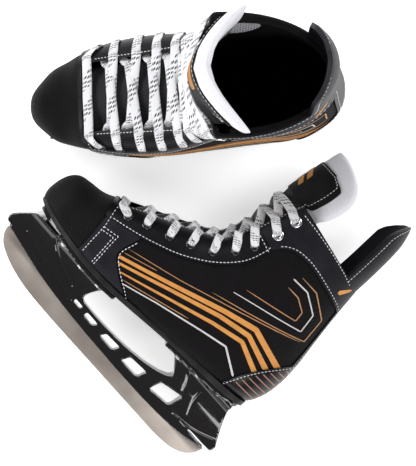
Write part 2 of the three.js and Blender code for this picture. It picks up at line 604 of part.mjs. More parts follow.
// The rim of each eyelet lies on the facing, and a tape behind the facing joins the barrels.
function eyeletRow(sign, hand) {
  const wall = OVERLAY + GAP + QUARTER;
  const skin = new THREE.Mesh(geometryOf(form(GAP + OVERLAY, hand, 4)));
  const spots = EYELETS.map(([x, z], i) => {
    const start = new THREE.Vector3(x, sign * WIDE, z);
    const [hit] = new THREE.Raycaster(start, new THREE.Vector3(0, -sign, 0)).intersectObject(skin);
    const { point, face: { normal: out } } = hit;
    const at = (by) => point.clone().addScaledVector(out, by);
    const large = i >= EYELETS.length - LARGE_EYELETS;
    const flange = large ? TOP_EYELET_FLANGE : EYELET_FLANGE;
    const lift = Math.max(EYELET_LIFT, highestRound(skin, point, out, flange));
    return { point, out, t: stationAt(x, z), at, flange, lift };
  });
  const highest = Math.max(...spots.map(({ lift }) => lift)) + EYELET_RIM;
  const back = -wall - TAPE_DEPTH;
  const turned = (profile) => spots.map(({ point, out, flange, lift }) => {
    const points = profile(flange, lift).map(([radius, by]) => new THREE.Vector2(radius, by));
    const geometry = new THREE.LatheGeometry(points, ROUND);
    const turn = new THREE.Quaternion().setFromUnitVectors(new THREE.Vector3(0, 1, 0), out);
    return solid(geometry.applyQuaternion(turn).translate(point.x, point.y, point.z));
  });
  const plug = (radius, from, to) => [[0, from], [radius, from], [radius, to], [0, to]];
  const root = back + TAPE / 2;
  const solids = turned((flange, lift) => [[0, root], [EYELET_BARREL, root], [EYELET_BARREL, lift],
    [flange, lift], [flange, lift + EYELET_RIM], [0, lift + EYELET_RIM]]);
  const bores = turned(() => plug(EYELET_HOLE, back - 3, highest + 3));
  const holes = turned(() => plug(EYELET_BARREL + GAP, back - 3, highest + 3));
  const tape = spots.map(({ at, out }, i) => {
    const way = new THREE.Vector3().subVectors(
      spots[Math.min(i + 1, spots.length - 1)].point,
      spots[Math.max(i - 1, 0)].point,
    );
    const across = new THREE.Vector3().crossVectors(way, out).normalize().multiplyScalar(TAPE_HALF);
    const [low, high] = [at(back), at(back + TAPE)];
    return [low.clone().add(across), high.clone().add(across), high.clone().sub(across),
      low.clone().sub(across)];
  });
  const row = join([loft(tape), ...solids]).subtract(join(bores));
  return { row, holes: join(holes), spots };
}

// A flat ribbon along a path. Each path point carries the way out of the surface under it.
function ribbon(path) {
  const rings = path.map(({ at, out }, i) => {
    const before = path[Math.max(0, i - 1)].at;
    const after = path[Math.min(path.length - 1, i + 1)].at;
    const way = new THREE.Vector3().subVectors(after, before).normalize();
    const across = new THREE.Vector3().crossVectors(way, out).normalize();
    const lift = new THREE.Vector3().crossVectors(across, way).normalize().multiplyScalar(LACE);
    across.multiplyScalar(LACE_WIDTH / 2);
    return [at.clone().add(across), at.clone().add(across).add(lift),
      at.clone().sub(across).add(lift), at.clone().sub(across)];
  });
  return loft(rings);
}

// The lace goes straight over between the first eyelets, then up in crosses to the last ones. It
// turns back just inside each eyelet.
function laceOf(rows, hand) {
  const edge = (t, sign, beyond = LACE_CORNER) => {
    const section = sectionAt(t, GAP + OVERLAY + LACE_OVER_EDGE);
    const cosine = Math.min(1, (gapHalf(t) + beyond) / section.half);
    const turn = THREE.MathUtils.radToDeg(Math.acos(cosine ** (section.above / 2)));
    const out = new THREE.Vector3(section.rise.x, sign * 0.6, section.rise.y).normalize();
    return { at: pointAt(section, turn, sign, hand), out };
  };
  const middle = (t, over) => {
    const { upper, rise } = sectionAt(t);
    const lift = Math.max(smooth(TONGUE_RISE, t - THROAT), 0) + LACE_OVER_TONGUE + over;
    const x = upper.x + rise.x * lift;
    return {
      at: new THREE.Vector3(x, sway(x, hand), upper.y + rise.y * lift),
      out: new THREE.Vector3(rise.x, 0, rise.y),
    };
  };
  const turn = (spot) => edge(spot.t, Math.sign(spot.point.y), LACE_TURN);
  const across = (from, to, over) => {
    const [a, b] = [Math.sign(from.point.y), Math.sign(to.point.y)];
    return [
      edge(THREE.MathUtils.lerp(from.t, to.t, LACE_SPREAD), a),
      middle((from.t + to.t) / 2, over),
      edge(THREE.MathUtils.lerp(from.t, to.t, 1 - LACE_SPREAD), b),
      turn(to),
    ];
  };
  // One half of the lace climbs from the first eyelet of one row, changing sides at every eyelet.
  const climb = (here, there, over) => {
    return here.slice(1).flatMap((_, i) => {
      const [from, to] = i % 2 ? [there[i], here[i + 1]] : [here[i], there[i + 1]];
      return across(from, to, i % 2 ? LACE + 2 * GAP - over : over);
    });
  };
  const [left, right] = rows;
  const start = [turn(right[0]), ...across(right[0], left[0], 0)];
  const half = reversed(climb(right, left, 0));
  return ribbon([...half, ...start, ...climb(left, right, LACE + 2 * GAP)]);
}

function tongueParts(hand) {
  const made = {};
  const arc = [-1, -0.5, 0, 0.5, 1];
  const ring = (x, z, rise, half, sag, thick) => {
    const at = (share, depth) => {
      const back = -sag * Math.abs(share) ** TONGUE_CURVE - depth;
      const px = x + rise.x * back;
      return new THREE.Vector3(px, half * share + sway(px, hand), z + rise.y * back);
    };
    return [...arc.map((share) => at(share, 0)), ...reversed(arc).map((share) => at(share, thick))];
  };
  const lower = Array.from({ length: TONGUE_RINGS }, (_, i) => {
    const t = THREE.MathUtils.lerp(THROAT + 0.6, CUFF - 1, i / (TONGUE_RINGS - 1));
    const { upper, rise } = sectionAt(t);
    const out = smooth(TONGUE_RISE, t - THROAT);
    const sag = smooth(TONGUE_SAG, t - THROAT);
    const [x, z] = [upper.x + rise.x * out, upper.y + rise.y * out];
    return ring(x, z, rise, gapHalf(t) - TONGUE_CLEAR, sag, TONGUE);
  });
  made.tongue_lower = loft(lower);
  const lean = new THREE.Vector2(1, 0.1).normalize();
  made.tongue_upper = loft(TONGUE_UPPER.map(([x, z, half, sag]) => {
    return ring(x, z + 0.1 * sag, lean, half, sag, TONGUE_TOP);
  }));
  const badge = TONGUE_UPPER.slice(0, 5).map(([x, z, half, sag], i) => {
    const share = i === 4 ? 0.42 : 0.62;
    return ring(x + BADGE + 4 * GAP, z + 0.1 * sag + (i ? 0 : 1.5), lean, half * share,
      sag * share ** TONGUE_CURVE, BADGE);
  });
  made.tongue_badge = loft(badge);
  return made;
}

function tendonGuard() {
  const tube = (shrink) => {
    return loft(GUARD_RINGS.map(([x, z, half, deep]) => {
      return Array.from({ length: RING }, (_, i) => {
        const angle = (2 * Math.PI * i) / RING;
        return new THREE.Vector3(x + deep - (deep - shrink) * Math.cos(angle),
          (half - shrink) * Math.sin(angle), z + (shrink ? (z > SKATE_HEIGHT - 23 ? 1 : -1) * 0.5 : 0));
      });
    }));
  };
  return intersect(tube(0).subtract(tube(GUARD)), sidePrism(GUARD_OUTLINE));
}

// Every piece of one skate, by name. hand is 1 for the left foot and -1 for the right.
function skateSolids(hand) {
  const { made: sole, drilled, pockets } = soleParts(hand);
  const parts = {
    ...runnerParts(hand, drilled, pockets),
    ...sole,
    ...upperPanels(hand),
    ...tongueParts(hand),
  };
  parts.tendon_guard = tendonGuard();
  const rows = {};
  for (const [name, sign] of [["outer", hand], ["inner", -hand]]) {
    const { row, holes, spots } = eyeletRow(sign, hand);
    parts[`eyelets_${name}`] = row;
    for (const wall of [`facing_${name}`, "cuff", `quarter_${name}`, "liner"]) {
      parts[wall] = parts[wall].subtract(holes);
    }
    rows[sign] = spots;
  }
  parts.lace = laceOf([rows[1], rows[-1]], hand);
  return parts;
}

// ---------------------------------------------------------------- finishes

const FINISHES = {
  steel: { color: 0xb9aca4, roughness: 0.42, metalness: 0.9 },
  gloss_black: { color: 0x0b0a0a, roughness: 0.12, metalness: 0 },
  sole_rubber: { color: 0x1b1b1c, roughness: 0.6, metalness: 0 },
  black_leather: { color: 0x17171b, roughness: 0.48, metalness: 0 },
  mesh_cloth: { color: 0x100e10, roughness: 0.9, metalness: 0 },
  lining_cloth: { color: 0x0b0b0c, roughness: 0.95, metalness: 0 },
  white_felt: { color: 0xeeedf2, roughness: 0.95, metalness: 0 },
  lace_white: { color: 0xf0f0f2, roughness: 0.85, metalness: 0 },
  bright_metal: { color: 0xd8d8da, roughness: 0.25, metalness: 0.9 },
  board: { color: 0x6d5a45, roughness: 0.9, metalness: 0 },
};
const FINISH_OF = {
  runner: "steel",
  holder: "gloss_black",
  outsole: "sole_rubber",
  insole_board: "board",
  footbed: "lining_cloth",
  toe_cap: "mesh_cloth",
  toe_puff: "sole_rubber",
  liner: "lining_cloth",
  tongue_lower: "black_leather",
  tongue_upper: "white_felt",
  lace: "lace_white",
};

function finishOf(name) {
  if (FINISH_OF[name]) return FINISH_OF[name];
  if (name.startsWith("quarter")) return "mesh_cloth";
  if (/^(runner_bolt|rivets|eyelets)/.test(name)) return "bright_metal";
  return "black_leather";
}

function skate(prefix, hand) {
  const group = new THREE.Group();
  for (const [name, made] of Object.entries(skateSolids(hand))) {
    const mesh = new THREE.Mesh(geometryOf(made), new THREE.MeshStandardMaterial(FINISHES[finishOf(name)]));
    mesh.name = `${prefix}_${name}`;
    group.add(mesh);
  }
  return group;
}

// ---------------------------------------------------------------- the pair

const left = skate("left", 1);
left.rotation.order = "XYZ";
left.rotation.set(
  THREE.MathUtils.degToRad(90 - LYING_ROLL),
  0,
  THREE.MathUtils.degToRad(LYING_TILT),
);
const right = skate("right", -1);
right.rotation.z = THREE.MathUtils.degToRad(STANDING_HEADING);
right.position.set(STANDING_AT[0], STANDING_AT[1], 0);

const pair = new THREE.Group();
pair.add(left, right);

// Each skate comes down to the floor, and the origin goes under the middle of the pair's box.
for (const one of [left, right]) {
  const box = new THREE.Box3().setFromObject(one, true);
  one.position.z -= box.min.z;
}
const box = new THREE.Box3().setFromObject(pair, true);
const middle = box.getCenter(new THREE.Vector3());
for (const one of [left, right]) {
  one.position.x -= middle.x;
  one.position.y -= middle.y;
}

export default pair;
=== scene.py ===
# %% [markdown]
# A pair of lace-up ice skates. The left one lies on its side with the outer side up, and the right
# one stands on its runner. The places, the joints, the bolts and rivets and the stiff boards inside
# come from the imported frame. Every other piece is modelled here in its place.

# %% Load the frame
import json
import math

import bpy
import numpy as np
from mathutils import Matrix, Vector


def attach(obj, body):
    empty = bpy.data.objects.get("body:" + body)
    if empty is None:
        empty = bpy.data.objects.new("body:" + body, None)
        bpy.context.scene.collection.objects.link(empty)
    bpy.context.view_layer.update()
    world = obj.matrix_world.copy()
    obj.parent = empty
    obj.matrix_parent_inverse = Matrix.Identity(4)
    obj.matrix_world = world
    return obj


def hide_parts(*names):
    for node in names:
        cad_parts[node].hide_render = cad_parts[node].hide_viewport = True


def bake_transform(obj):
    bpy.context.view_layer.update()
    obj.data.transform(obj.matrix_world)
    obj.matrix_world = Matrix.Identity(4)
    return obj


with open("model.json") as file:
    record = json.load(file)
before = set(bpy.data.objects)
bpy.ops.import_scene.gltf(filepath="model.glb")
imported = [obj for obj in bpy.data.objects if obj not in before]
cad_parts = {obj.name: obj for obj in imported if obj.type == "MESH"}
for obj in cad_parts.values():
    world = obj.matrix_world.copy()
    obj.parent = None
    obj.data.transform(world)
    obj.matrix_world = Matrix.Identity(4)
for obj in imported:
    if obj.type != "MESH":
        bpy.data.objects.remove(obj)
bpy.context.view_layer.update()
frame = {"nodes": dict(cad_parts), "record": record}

# %% [markdown]
# Both skates are modelled once, in a frame of their own: millimetres, x to the toe, y to the outer
# side, z up, with the origin on the ice under the middle of the runner. The runner's edge is a
# mount in the record, so each skate's place in the room comes from there. The right skate is the
# left one mirrored.

# %% The places of the two skates
MM = 0.001
LYING_TILT, LYING_ROLL, STANDING_HEADING = 5.8, 1.7, 50.7  # degrees
MOUNT_LOCAL = Vector((-10, 0, 0))  # the runner's edge, in the skate's own frame
TURNS = {
    "left": Matrix.Rotation(math.radians(90 - LYING_ROLL), 3, "X")
    @ Matrix.Rotation(math.radians(LYING_TILT), 3, "Z"),
    "right": Matrix.Rotation(math.radians(STANDING_HEADING), 3, "Z"),
}
mounts = {m["name"]: Vector(m["pos_m"]) for m in frame["record"]["mounts"]}
PLACES = {}
for side, turn in TURNS.items():
    origin = mounts[f"{side}_runner_edge"] - turn @ MOUNT_LOCAL * MM
    PLACES[side] = Matrix.Translation(origin) @ turn.to_4x4() @ Matrix.Diagonal((MM, MM, MM, 1))
    print(side, "origin", [round(v, 4) for v in origin])


def place_of(side, point):
    """A place of the left skate's own frame, in the room. The right skate is its mirror image."""
    x, y, z = point
    return PLACES[side] @ Vector((x, y if side == "left" else -y, z))


# %% [markdown]
# A boot is built on a last, so the boot's shape is one closed form, given by planes from the toe to
# the cuff. Each plane has an upper and a lower point, a half width, the share of the height at
# which it is widest, and how square it is above and below that.

# %% The boot form
STATIONS = np.array([  # upper x and z, lower x and z, half width, widest at, square above and below
    [146.6, 88, 146.6, 83, 0.6, 0.5, 2, 2],
    [145.6, 97, 145.2, 77.5, 9, 0.45, 2, 2.2],
    [142, 107, 142, 73.2, 15.5, 0.4, 2.1, 3],
    [135, 114, 135, 71.8, 23, 0.38, 2.2, 4],
    [124, 117, 124, 70.5, 33, 0.35, 2.3, 5],
    [109, 120, 109, 69, 39.5, 0.33, 2.4, 6],
    [96, 126, 92, 68.1, 44.5, 0.32, 3.5, 6],
    [72, 139, 68, 67.6, 49.5, 0.32, 4, 6],
    [45, 153, 42, 68.8, 52.4, 0.32, 4.5, 6],
    [20, 167.5, 12, 72, 52.6, 0.3, 5, 6],
    [4, 178, -25, 75.8, 50, 0.3, 6, 6],
    [-2.5, 190, -65, 79.4, 47, 0.32, 7, 5],
    [-6, 201, -105, 83.6, 45, 0.35, 8, 4],
    [-9, 209, -132, 87.5, 44, 0.45, 8, 2.8],
    [-12, 217, -143, 107, 44.5, 0.55, 8, 2.3],
    [-14.5, 225, -145, 130, 45.5, 0.6, 8, 2.2],
    [-17, 233, -142.3, 153, 46.5, 0.65, 8, 2.2],
    [-19.5, 241, -136.5, 180, 47.5, 0.7, 8, 2.2],
    [-22, 248.5, -130.5, 210, 49, 0.78, 8, 2.1],
    [-25, 256, -125.5, 241, 49.6, 0.85, 8, 2],
])
CUFF, THROAT, HEEL = len(STATIONS) - 1, 6, 13
TOE_SWAY, TOE_SWAY_FROM, TOE_END = 4, 90, 150
GAP_AT_THROAT, GAP_AT_CUFF = 31, 41  # half widths of the lacing gap
NOSE_STATIONS = 4  # growing carries this many stations forward as well
FIRST_PLANE, LAST_PLANE, HALVINGS = 0.6, CUFF + 1.5, 36  # where and how finely a station is looked for


def smooth(rows, position):
    """A row between evenly numbered rows, on a smooth curve through them."""
    rows = np.asarray(rows, float)
    position = np.asarray(position, float)
    more = np.concatenate([[2 * rows[0] - rows[1]], rows, [2 * rows[-1] - rows[-2]]])
    i = np.clip(np.floor(position), 0, len(rows) - 2).astype(int)
    f = (position - i).reshape(position.shape + (1,) * (rows.ndim - 1))
    a, b, c, d = (more[i + k] for k in range(4))
    inside = b + 0.5 * f * (c - a + f * (2 * a - 5 * b + 4 * c - d + f * (3 * (b - c) + d - a)))
    return np.where(f > 1, c + (f - 1) * (c - b), inside)


def unit(ways):
    """Rows of vectors, each with length 1."""
    return ways / np.linalg.norm(ways, axis=-1, keepdims=True)


def signed_power(value, power):
    """A power that keeps the sign: below 1 it turns a round section square."""
    return np.sign(value) * np.abs(value) ** power


def ramp(x, low, high):
    """0 below low, 1 above high, and a soft step between."""
    f = np.clip((x - low) / (high - low), 0, 1)
    return f * f * (3 - 2 * f)


def sway(x):
    """The toe bends a little to the inner side."""
    return -TOE_SWAY * ramp(x, TOE_SWAY_FROM, TOE_END)


def section(t, grown=0.0):
    """The planes of the form at stations t, grown by some millimetres."""
    t = np.asarray(t, float)
    row = smooth(STATIONS, t)
    upper, lower = row[..., 0:2].copy(), row[..., 2:4].copy()
    rise = unit(upper - lower)
    nose = (grown * np.clip(1 - t / NOSE_STATIONS, 0, None))[..., None] * np.array([1.0, 0.0])
    heel = ramp(t, HEEL - 1, HEEL + 1)[..., None]
    upper += rise * grown + nose
    lower += -rise * grown * heel + nose
    half = np.maximum(row[..., 4] + grown, 0.5)
    return upper, lower, rise, half, row[..., 5], row[..., 6], row[..., 7]


def form_point(t, turn, sign, grown=0.0):
    """Points of the form. turn runs from -90 underneath over 0 at the widest to 90 on top."""
    upper, lower, rise, half, widest, above, below = section(t, grown)
    angle = np.radians(turn)
    power = 2 / np.where(turn > 0, above, below)
    reach = np.where(turn > 0, 1 - widest, widest)
    share = widest + np.sign(turn) * reach * np.abs(np.sin(angle)) ** power
    flat = lower + (upper - lower) * share[..., None]
    out = half * np.clip(np.cos(angle), 0, 1) ** power
    return np.stack([flat[..., 0], sign * out + sway(flat[..., 0]), flat[..., 1]], axis=-1)


def station_at(x, z, grown=0.0):
    """The station whose plane goes through a place on the side view."""
    x, z = np.broadcast_arrays(np.asarray(x, float), np.asarray(z, float))
    low, high = np.full(x.shape, FIRST_PLANE), np.full(x.shape, LAST_PLANE)
    for _ in range(HALVINGS):
        t = (low + high) / 2
        _, lower, rise, *_ = section(t, grown)
        behind = (x - lower[..., 0]) * rise[..., 1] - (z - lower[..., 1]) * rise[..., 0] < 0
        low, high = np.where(behind, t, low), np.where(behind, high, t)
    return low


def skin(x, z, sign, grown=0.0):
    """The point of the grown form behind a place on the side view, on one side."""
    x, z = np.broadcast_arrays(np.asarray(x, float), np.asarray(z, float))
    t = station_at(x, z, grown)
    upper, lower, rise, half, widest, above, below = section(t, grown)
    length = np.linalg.norm(upper - lower, axis=-1)
    share = ((x - lower[..., 0]) * rise[..., 0] + (z - lower[..., 1]) * rise[..., 1]) / length
    share = np.clip(share, 0, 1)
    over = share > widest
    reach = np.where(over, 1 - widest, widest)
    bent = np.clip(np.abs(share - widest) / reach, 0, 1)
    square = np.where(over, above, below)
    out = half * (1 - bent**square) ** (1 / square)
    return np.stack([x, sign * out + sway(x), z], axis=-1)


def skin_out(x, z, sign, grown=0.0):
    """The way out of the form at a place on the side view."""
    step = 0.6
    along = skin(x + step, z, sign, grown) - skin(x - step, z, sign, grown)
    up = skin(x, z + step, sign, grown) - skin(x, z - step, sign, grown)
    out = np.cross(up, along)
    return unit(out * np.sign(out[..., 1:2]) * sign)


def gap_half(t):
    """Half the width of the lacing gap at a station."""
    return GAP_AT_THROAT + (GAP_AT_CUFF - GAP_AT_THROAT) * (t - THROAT) / (CUFF - THROAT)


print("cuff half width", round(float(section(CUFF)[3]), 1), "mm")

# %% [markdown]
# Small helpers do the handwork. They read and set points, run edit steps and modifiers, start a
# sheet as a grid whose points go to a shape, roll such a sheet into a closed tube, extrude a drawn
# outline, and draw smooth lines through points.

# %% Helpers for shaping


def points_of(piece):
    flat = np.empty(len(piece.data.vertices) * 3)
    piece.data.vertices.foreach_get("co", flat)
    return flat.reshape(-1, 3)


def move_points(piece, points):
    piece.data.vertices.foreach_set("co", np.asarray(points, float).ravel())
    piece.data.update()


def pick(piece):
    """Only this piece is selected and active."""
    bpy.ops.object.select_all(action="DESELECT")
    piece.select_set(True)
    bpy.context.view_layer.objects.active = piece


def edit(piece, *steps):
    """Runs edit-mode operators on the whole piece."""
    pick(piece)
    bpy.ops.object.mode_set(mode="EDIT")
    bpy.ops.mesh.select_all(action="SELECT")
    for step in steps:
        step()
    bpy.ops.object.mode_set(mode="OBJECT")
    return piece


def apply(piece, kind, **settings):
    """Adds one modifier and applies it."""
    modifier = piece.modifiers.new(kind.lower(), kind)
    for name, value in settings.items():
        setattr(modifier, name, value)
    pick(piece)
    bpy.ops.object.modifier_apply(modifier=modifier.name)
    return piece


def merged():
    bpy.ops.mesh.remove_doubles(threshold=0.001)


def outward():
    bpy.ops.mesh.normals_make_consistent(inside=False)


def hole_filled():
    bpy.ops.mesh.select_all(action="DESELECT")
    bpy.ops.mesh.select_non_manifold()
    bpy.ops.mesh.fill_holes(sides=0)
    bpy.ops.mesh.select_all(action="SELECT")


def started(name, primitive, **settings):
    """A new piece from one of Blender's primitives."""
    bpy.ops.object.select_all(action="DESELECT")
    primitive(**settings)
    bpy.context.object.name = name
    return bpy.context.object


def sheet_of(name, columns, rows, shape):
    """A grid whose points go to shape(u, v), with u and v from 0 to 1."""
    piece = started(name, bpy.ops.mesh.primitive_grid_add,
                    x_subdivisions=columns, y_subdivisions=rows, size=1)
    flat = points_of(piece)
    move_points(piece, shape(flat[:, 0] + 0.5, flat[:, 1] + 0.5))
    return piece


def tube_of(name, around, along, shape):
    """A grid rolled into a closed tube: u runs round it and v along it."""
    return edit(sheet_of(name, around, along, shape), merged, hole_filled, outward)


def prism_of(name, outline, low, high, plan=False):
    """A drawn outline with a thickness: on the side view, or on the plan."""
    outline = np.asarray(outline, float)
    piece = started(name, bpy.ops.mesh.primitive_circle_add, vertices=len(outline), fill_type="NGON")
    fixed = np.full(len(outline), float(low))
    columns = [outline[:, 0], outline[:, 1], fixed] if plan else [outline[:, 0], fixed, outline[:, 1]]
    move_points(piece, np.stack(columns, axis=1))
    way = (0, 0, high - low) if plan else (0, high - low, 0)

    def thickened():
        bpy.ops.mesh.extrude_region_move(TRANSFORM_OT_translate={"value": way})
        bpy.ops.mesh.select_all(action="SELECT")

    return edit(piece, thickened, outward)


def copy_of(piece, name):
    twin = piece.copy()
    twin.data = piece.data.copy()
    twin.name = name
    bpy.context.scene.collection.objects.link(twin)
    return twin


def point_map(piece, name, values):
    """Three numbers kept at every point, for the finishes to read."""
    kept = piece.data.attributes.new(name, "FLOAT_VECTOR", "POINT")
    kept.data.foreach_set("vector", values.ravel())


def round_edges(piece, width, segments, angle):
    """A bevel on the edges sharper than an angle in degrees."""
    apply(piece, "BEVEL", width=width, segments=segments,
          limit_method="ANGLE", angle_limit=math.radians(angle))


def carve(piece, tool, operation="DIFFERENCE", keep=True):
    """A boolean cut with another closed piece, or the part they share, or both together."""
    apply(piece, "BOOLEAN", object=tool, operation=operation, solver="MANIFOLD")
    if not keep:
        bpy.data.objects.remove(tool)
    return piece


def curved(points, count=8):
    """A smooth line through some points."""
    points = np.asarray(points, float)
    return smooth(points, np.linspace(0, len(points) - 1, (len(points) - 1) * count + 1))


def left_of(line):
    """The unit ways to the left of a side-view line."""
    way = unit(np.gradient(line, axis=0))
    return np.stack([-way[:, 1], way[:, 0]], axis=1)


def spaced(points, pitch):
    """The same line with points an even distance apart."""
    points = np.asarray(points, float)
    run = np.concatenate([[0], np.cumsum(np.linalg.norm(np.diff(points, axis=0), axis=1))])
    at = np.linspace(0, run[-1], max(2, int(run[-1] / pitch) + 1))
    return np.stack([np.interp(at, run, points[:, k]) for k in range(points.shape[1])], axis=1)


# %% [markdown]
# The boot's layers lie between two sizes of the form. They are cut from these closed forms, so
# neighbouring panels always follow the same curve.

# %% The closed forms
AROUND, ALONG = 88, 150  # faces of a form
LEATHER, CLOTH, LINING, CLEAR = 1.5, 1.8, 4.2, 0.3  # thicknesses, and the room between two layers
GAP_UNDER, GAP_OVER = -18.0, 34.0  # how far the cut for the lacing gap reaches


def closed_form(name, grown, start=0.0, end=CUFF):
    def shape(u, v):
        turn = np.where(u < 0.5, -90 + 360 * u, 270 - 360 * u)
        t = start + (end - start) * v
        return form_point(t, turn, np.where(u < 0.5, 1, -1), grown)

    return tube_of(name, AROUND, ALONG, shape)


forms = {
    "cloth": closed_form("form_cloth", 0),
    "cloth_core": closed_form("form_cloth_core", -CLOTH, 0.8, CUFF + 2),
    "leather": closed_form("form_leather", CLEAR + LEATHER, 4),
    "leather_core": closed_form("form_leather_core", CLEAR, 3, CUFF + 2),
    "lining": closed_form("form_lining", -CLOTH - CLEAR, 1),
    "lining_core": closed_form("form_lining_core", -CLOTH - CLEAR - LINING, 1, CUFF + 2),
}
print({name: len(form.data.polygons) for name, form in forms.items()})


def gap_shape(u, v):
    t = THROAT + 0.1 + (CUFF + 1.9 - THROAT) * v
    upper, _, rise, *_ = section(t)
    half = gap_half(t)
    corner = np.round(u * 4).astype(int) % 4
    out = np.where((corner == 0) | (corner == 1), GAP_UNDER, GAP_OVER)
    across = np.where((corner == 1) | (corner == 2), 1.0, -1.0) * half
    return np.stack([upper[:, 0] + rise[:, 0] * out, across + sway(upper[:, 0]),
                     upper[:, 1] + rise[:, 1] * out], axis=1)


lacing_gap = tube_of("lacing_gap", 4, 60, gap_shape)

# %% [markdown]
# The seams are drawn on the side view, from the pattern pieces of such a boot: a mesh toe cap, a
# stitched vamp patch, an eyelet facing that runs up the instep, a woven quarter, a moulded heel
# counter, a backstay and a cuff.

# %% The seams
WIDE = 90  # past the boot's side
TOE_SEAM = curved([[99, 150], [98.4, 130], [96.6, 121], [93, 112], [89.6, 104], [87, 90], [84.5, 66]])
FACING_SEAM = curved([[84, 112.6], [70, 116.8], [55, 121.8], [40, 127.8], [20, 136.8], [0, 149.8],
                      [-12, 160], [-21, 170], [-28, 180.5], [-32, 191], [-34, 201], [-34.4, 205.6]])
CUFF_SEAM = curved([[-38, 211.4], [-43, 217], [-50, 221.4], [-60, 223.8], [-75, 224], [-100, 220.4],
                    [-120, 216.8], [-129, 213.6], [-160, 204]])
VAMP_SEAM = curved([[55, 121.2], [57, 112], [59, 103], [59, 97.4], [56, 92], [50, 87.4], [40, 81.4],
                    [30, 76.4], [20, 70], [10, 63]])
COUNTER_SEAM = curved([[-101, 66], [-101.4, 88], [-104, 98], [-109, 109.5], [-116, 121.5],
                       [-125, 133.5], [-135, 144.6], [-146, 154], [-160, 164]])
BACKSTAY_EDGE = curved([[-122, 245], [-124.6, 230], [-127.4, 213], [-131.4, 188], [-135.4, 163],
                        [-138.4, 140]])
SOLE_TOP = curved([[160, 78.2], [120, 72.6], [90, 70.6], [60, 70.1], [30, 72], [0, 75.4],
                   [-90, 84.5], [-136, 89.6], [-149, 91]])
FACING_END = np.array([[-10, 211.4], [20, 219]])
LINER_EDGE = curved([[96, 96], [90, 108], [55, 119.5], [20, 134.5], [-12, 157.5], [-33, 186],
                     [-40, 202], [-41, 225], [-38, 246], [-40, 262]])


def height_at(line, x):
    """The height of a side-view line at x."""
    order = np.argsort(line[:, 0])
    return np.interp(x, line[order, 0], line[order, 1])


def sole_run(low, high, lift=0.0):
    """The sole's upper line from the toe end to the heel end."""
    x = np.linspace(high, low, 40)
    return np.stack([x, height_at(SOLE_TOP, x) + lift], axis=1)


panels = {}


def panel(name, layer, outline, low=-WIDE, high=WIDE, open_gap=True):
    """The part of a layer that falls inside an outline."""
    piece = carve(copy_of(forms[layer], name), prism_of("outline", outline, low, high), "INTERSECT", False)
    carve(piece, forms[f"{layer}_core"])
    if open_gap:
        carve(piece, lacing_gap)
    panels[name] = piece
    return piece


sides = {"outer": (0.2, WIDE), "inner": (-WIDE, -0.2)}
panel("toe_cap", "cloth", [[165, 150], *TOE_SEAM, [165, 66]], open_gap=False)
quarter_line = [[86, 66], [88, 104], [92, 112.6], *FACING_SEAM[4:], *FACING_END, [20, 300],
                [-165, 300], [-165, 66]]
vamp_line = [[84.8, 66], [87.4, 90], [90, 104], [91, 110.4], [84, 112.4], *FACING_SEAM[3:16],
             *VAMP_SEAM]
facing_line = [[99.2, 150], [98.6, 130], [96.9, 121], [93.2, 112.4], [91.6, 110.8], *FACING_SEAM,
               *FACING_END, [99, 250]]
for name, (low, high) in sides.items():
    panel(f"quarter_{name}", "cloth", quarter_line, low, high)
    panel(f"vamp_{name}", "leather", vamp_line, low, high, open_gap=False)
    panel(f"facing_{name}", "leather", facing_line, low, high)
cuff_line = [[20, 219.4], [-10, 211.8], [-34.9, 206.2], *CUFF_SEAM, [-160, 300], [20, 300]]
panel("cuff", "leather", cuff_line)
panel("heel_counter", "leather", [*COUNTER_SEAM, [-165, 66]], open_gap=False)
backstay = panel("backstay", "leather", [*BACKSTAY_EDGE, [-165, 130], [-165, 245]], open_gap=False)
above_line = [*(CUFF_SEAM - [0, 0.4]), [-160, 300], [20, 300]]
below_line = [*(COUNTER_SEAM + [0.2, 0.4]), [-175, 164], [-175, 60]]
for outline in (above_line, below_line):
    carve(backstay, prism_of("neighbour", outline, -WIDE, WIDE), keep=False)
lining_line = [*LINER_EDGE, [-160, 300], [-160, 98], *sole_run(-140, 96, 9)[::-1]]
panel("liner", "lining", lining_line)
print({name: len(piece.data.polygons) for name, piece in panels.items()})

# %% [markdown]
# The sole is a flat slab that follows the boot's underside: a drawn side profile, cut to the plan
# outline. The footbed is a soft pad on the floor of the boot.

# %% The sole and footbed
SOLE_UNDER = curved([[160, 77], [138, 71], [100, 66.4], [76, 64.6], [52, 64.8], [28, 67],
                     [-38, 74.2], [-100, 79], [-131, 83.4], [-149, 85]])
SOLE_HALF = curved([[143.4, 0.5], [142.5, 7], [138, 17], [126, 28.5], [108, 37], [84, 43.4], [42, 48],
                    [16, 47.4], [-34, 40], [-70, 36], [-112, 33.6], [-127, 28.5], [-134, 19],
                    [-136.4, 9], [-136.8, 0.5]])
SEAT = 0.2  # the room between the boot, the sole and the holder
SOLE_WIDE, SOLE_LOW, SOLE_HIGH = 60, 30, 120  # past the sole on every side
FOOTBED_TOP, FOOTBED_UNDER = 6.4, 2.3  # above the sole


def plan_outline(inset=0.0):
    """The sole seen from above, its sides moved in by some millimetres."""
    half = np.maximum(SOLE_HALF[:, 1] - inset, 0.4)
    left = np.stack([SOLE_HALF[:, 0], half], axis=1)
    right = left[::-1] * [1, -1]
    line = np.concatenate([left, right])
    line[:, 1] += sway(line[:, 0])
    return line


def slab(name, upper, under, inset=0.0):
    """A plate between two side-view lines, cut to the plan of the sole."""
    piece = prism_of(name, [*upper, *under[::-1]], -SOLE_WIDE, SOLE_WIDE)
    plan = prism_of("plan", plan_outline(inset), SOLE_LOW, SOLE_HIGH, plan=True)
    return carve(piece, plan, "INTERSECT", False)


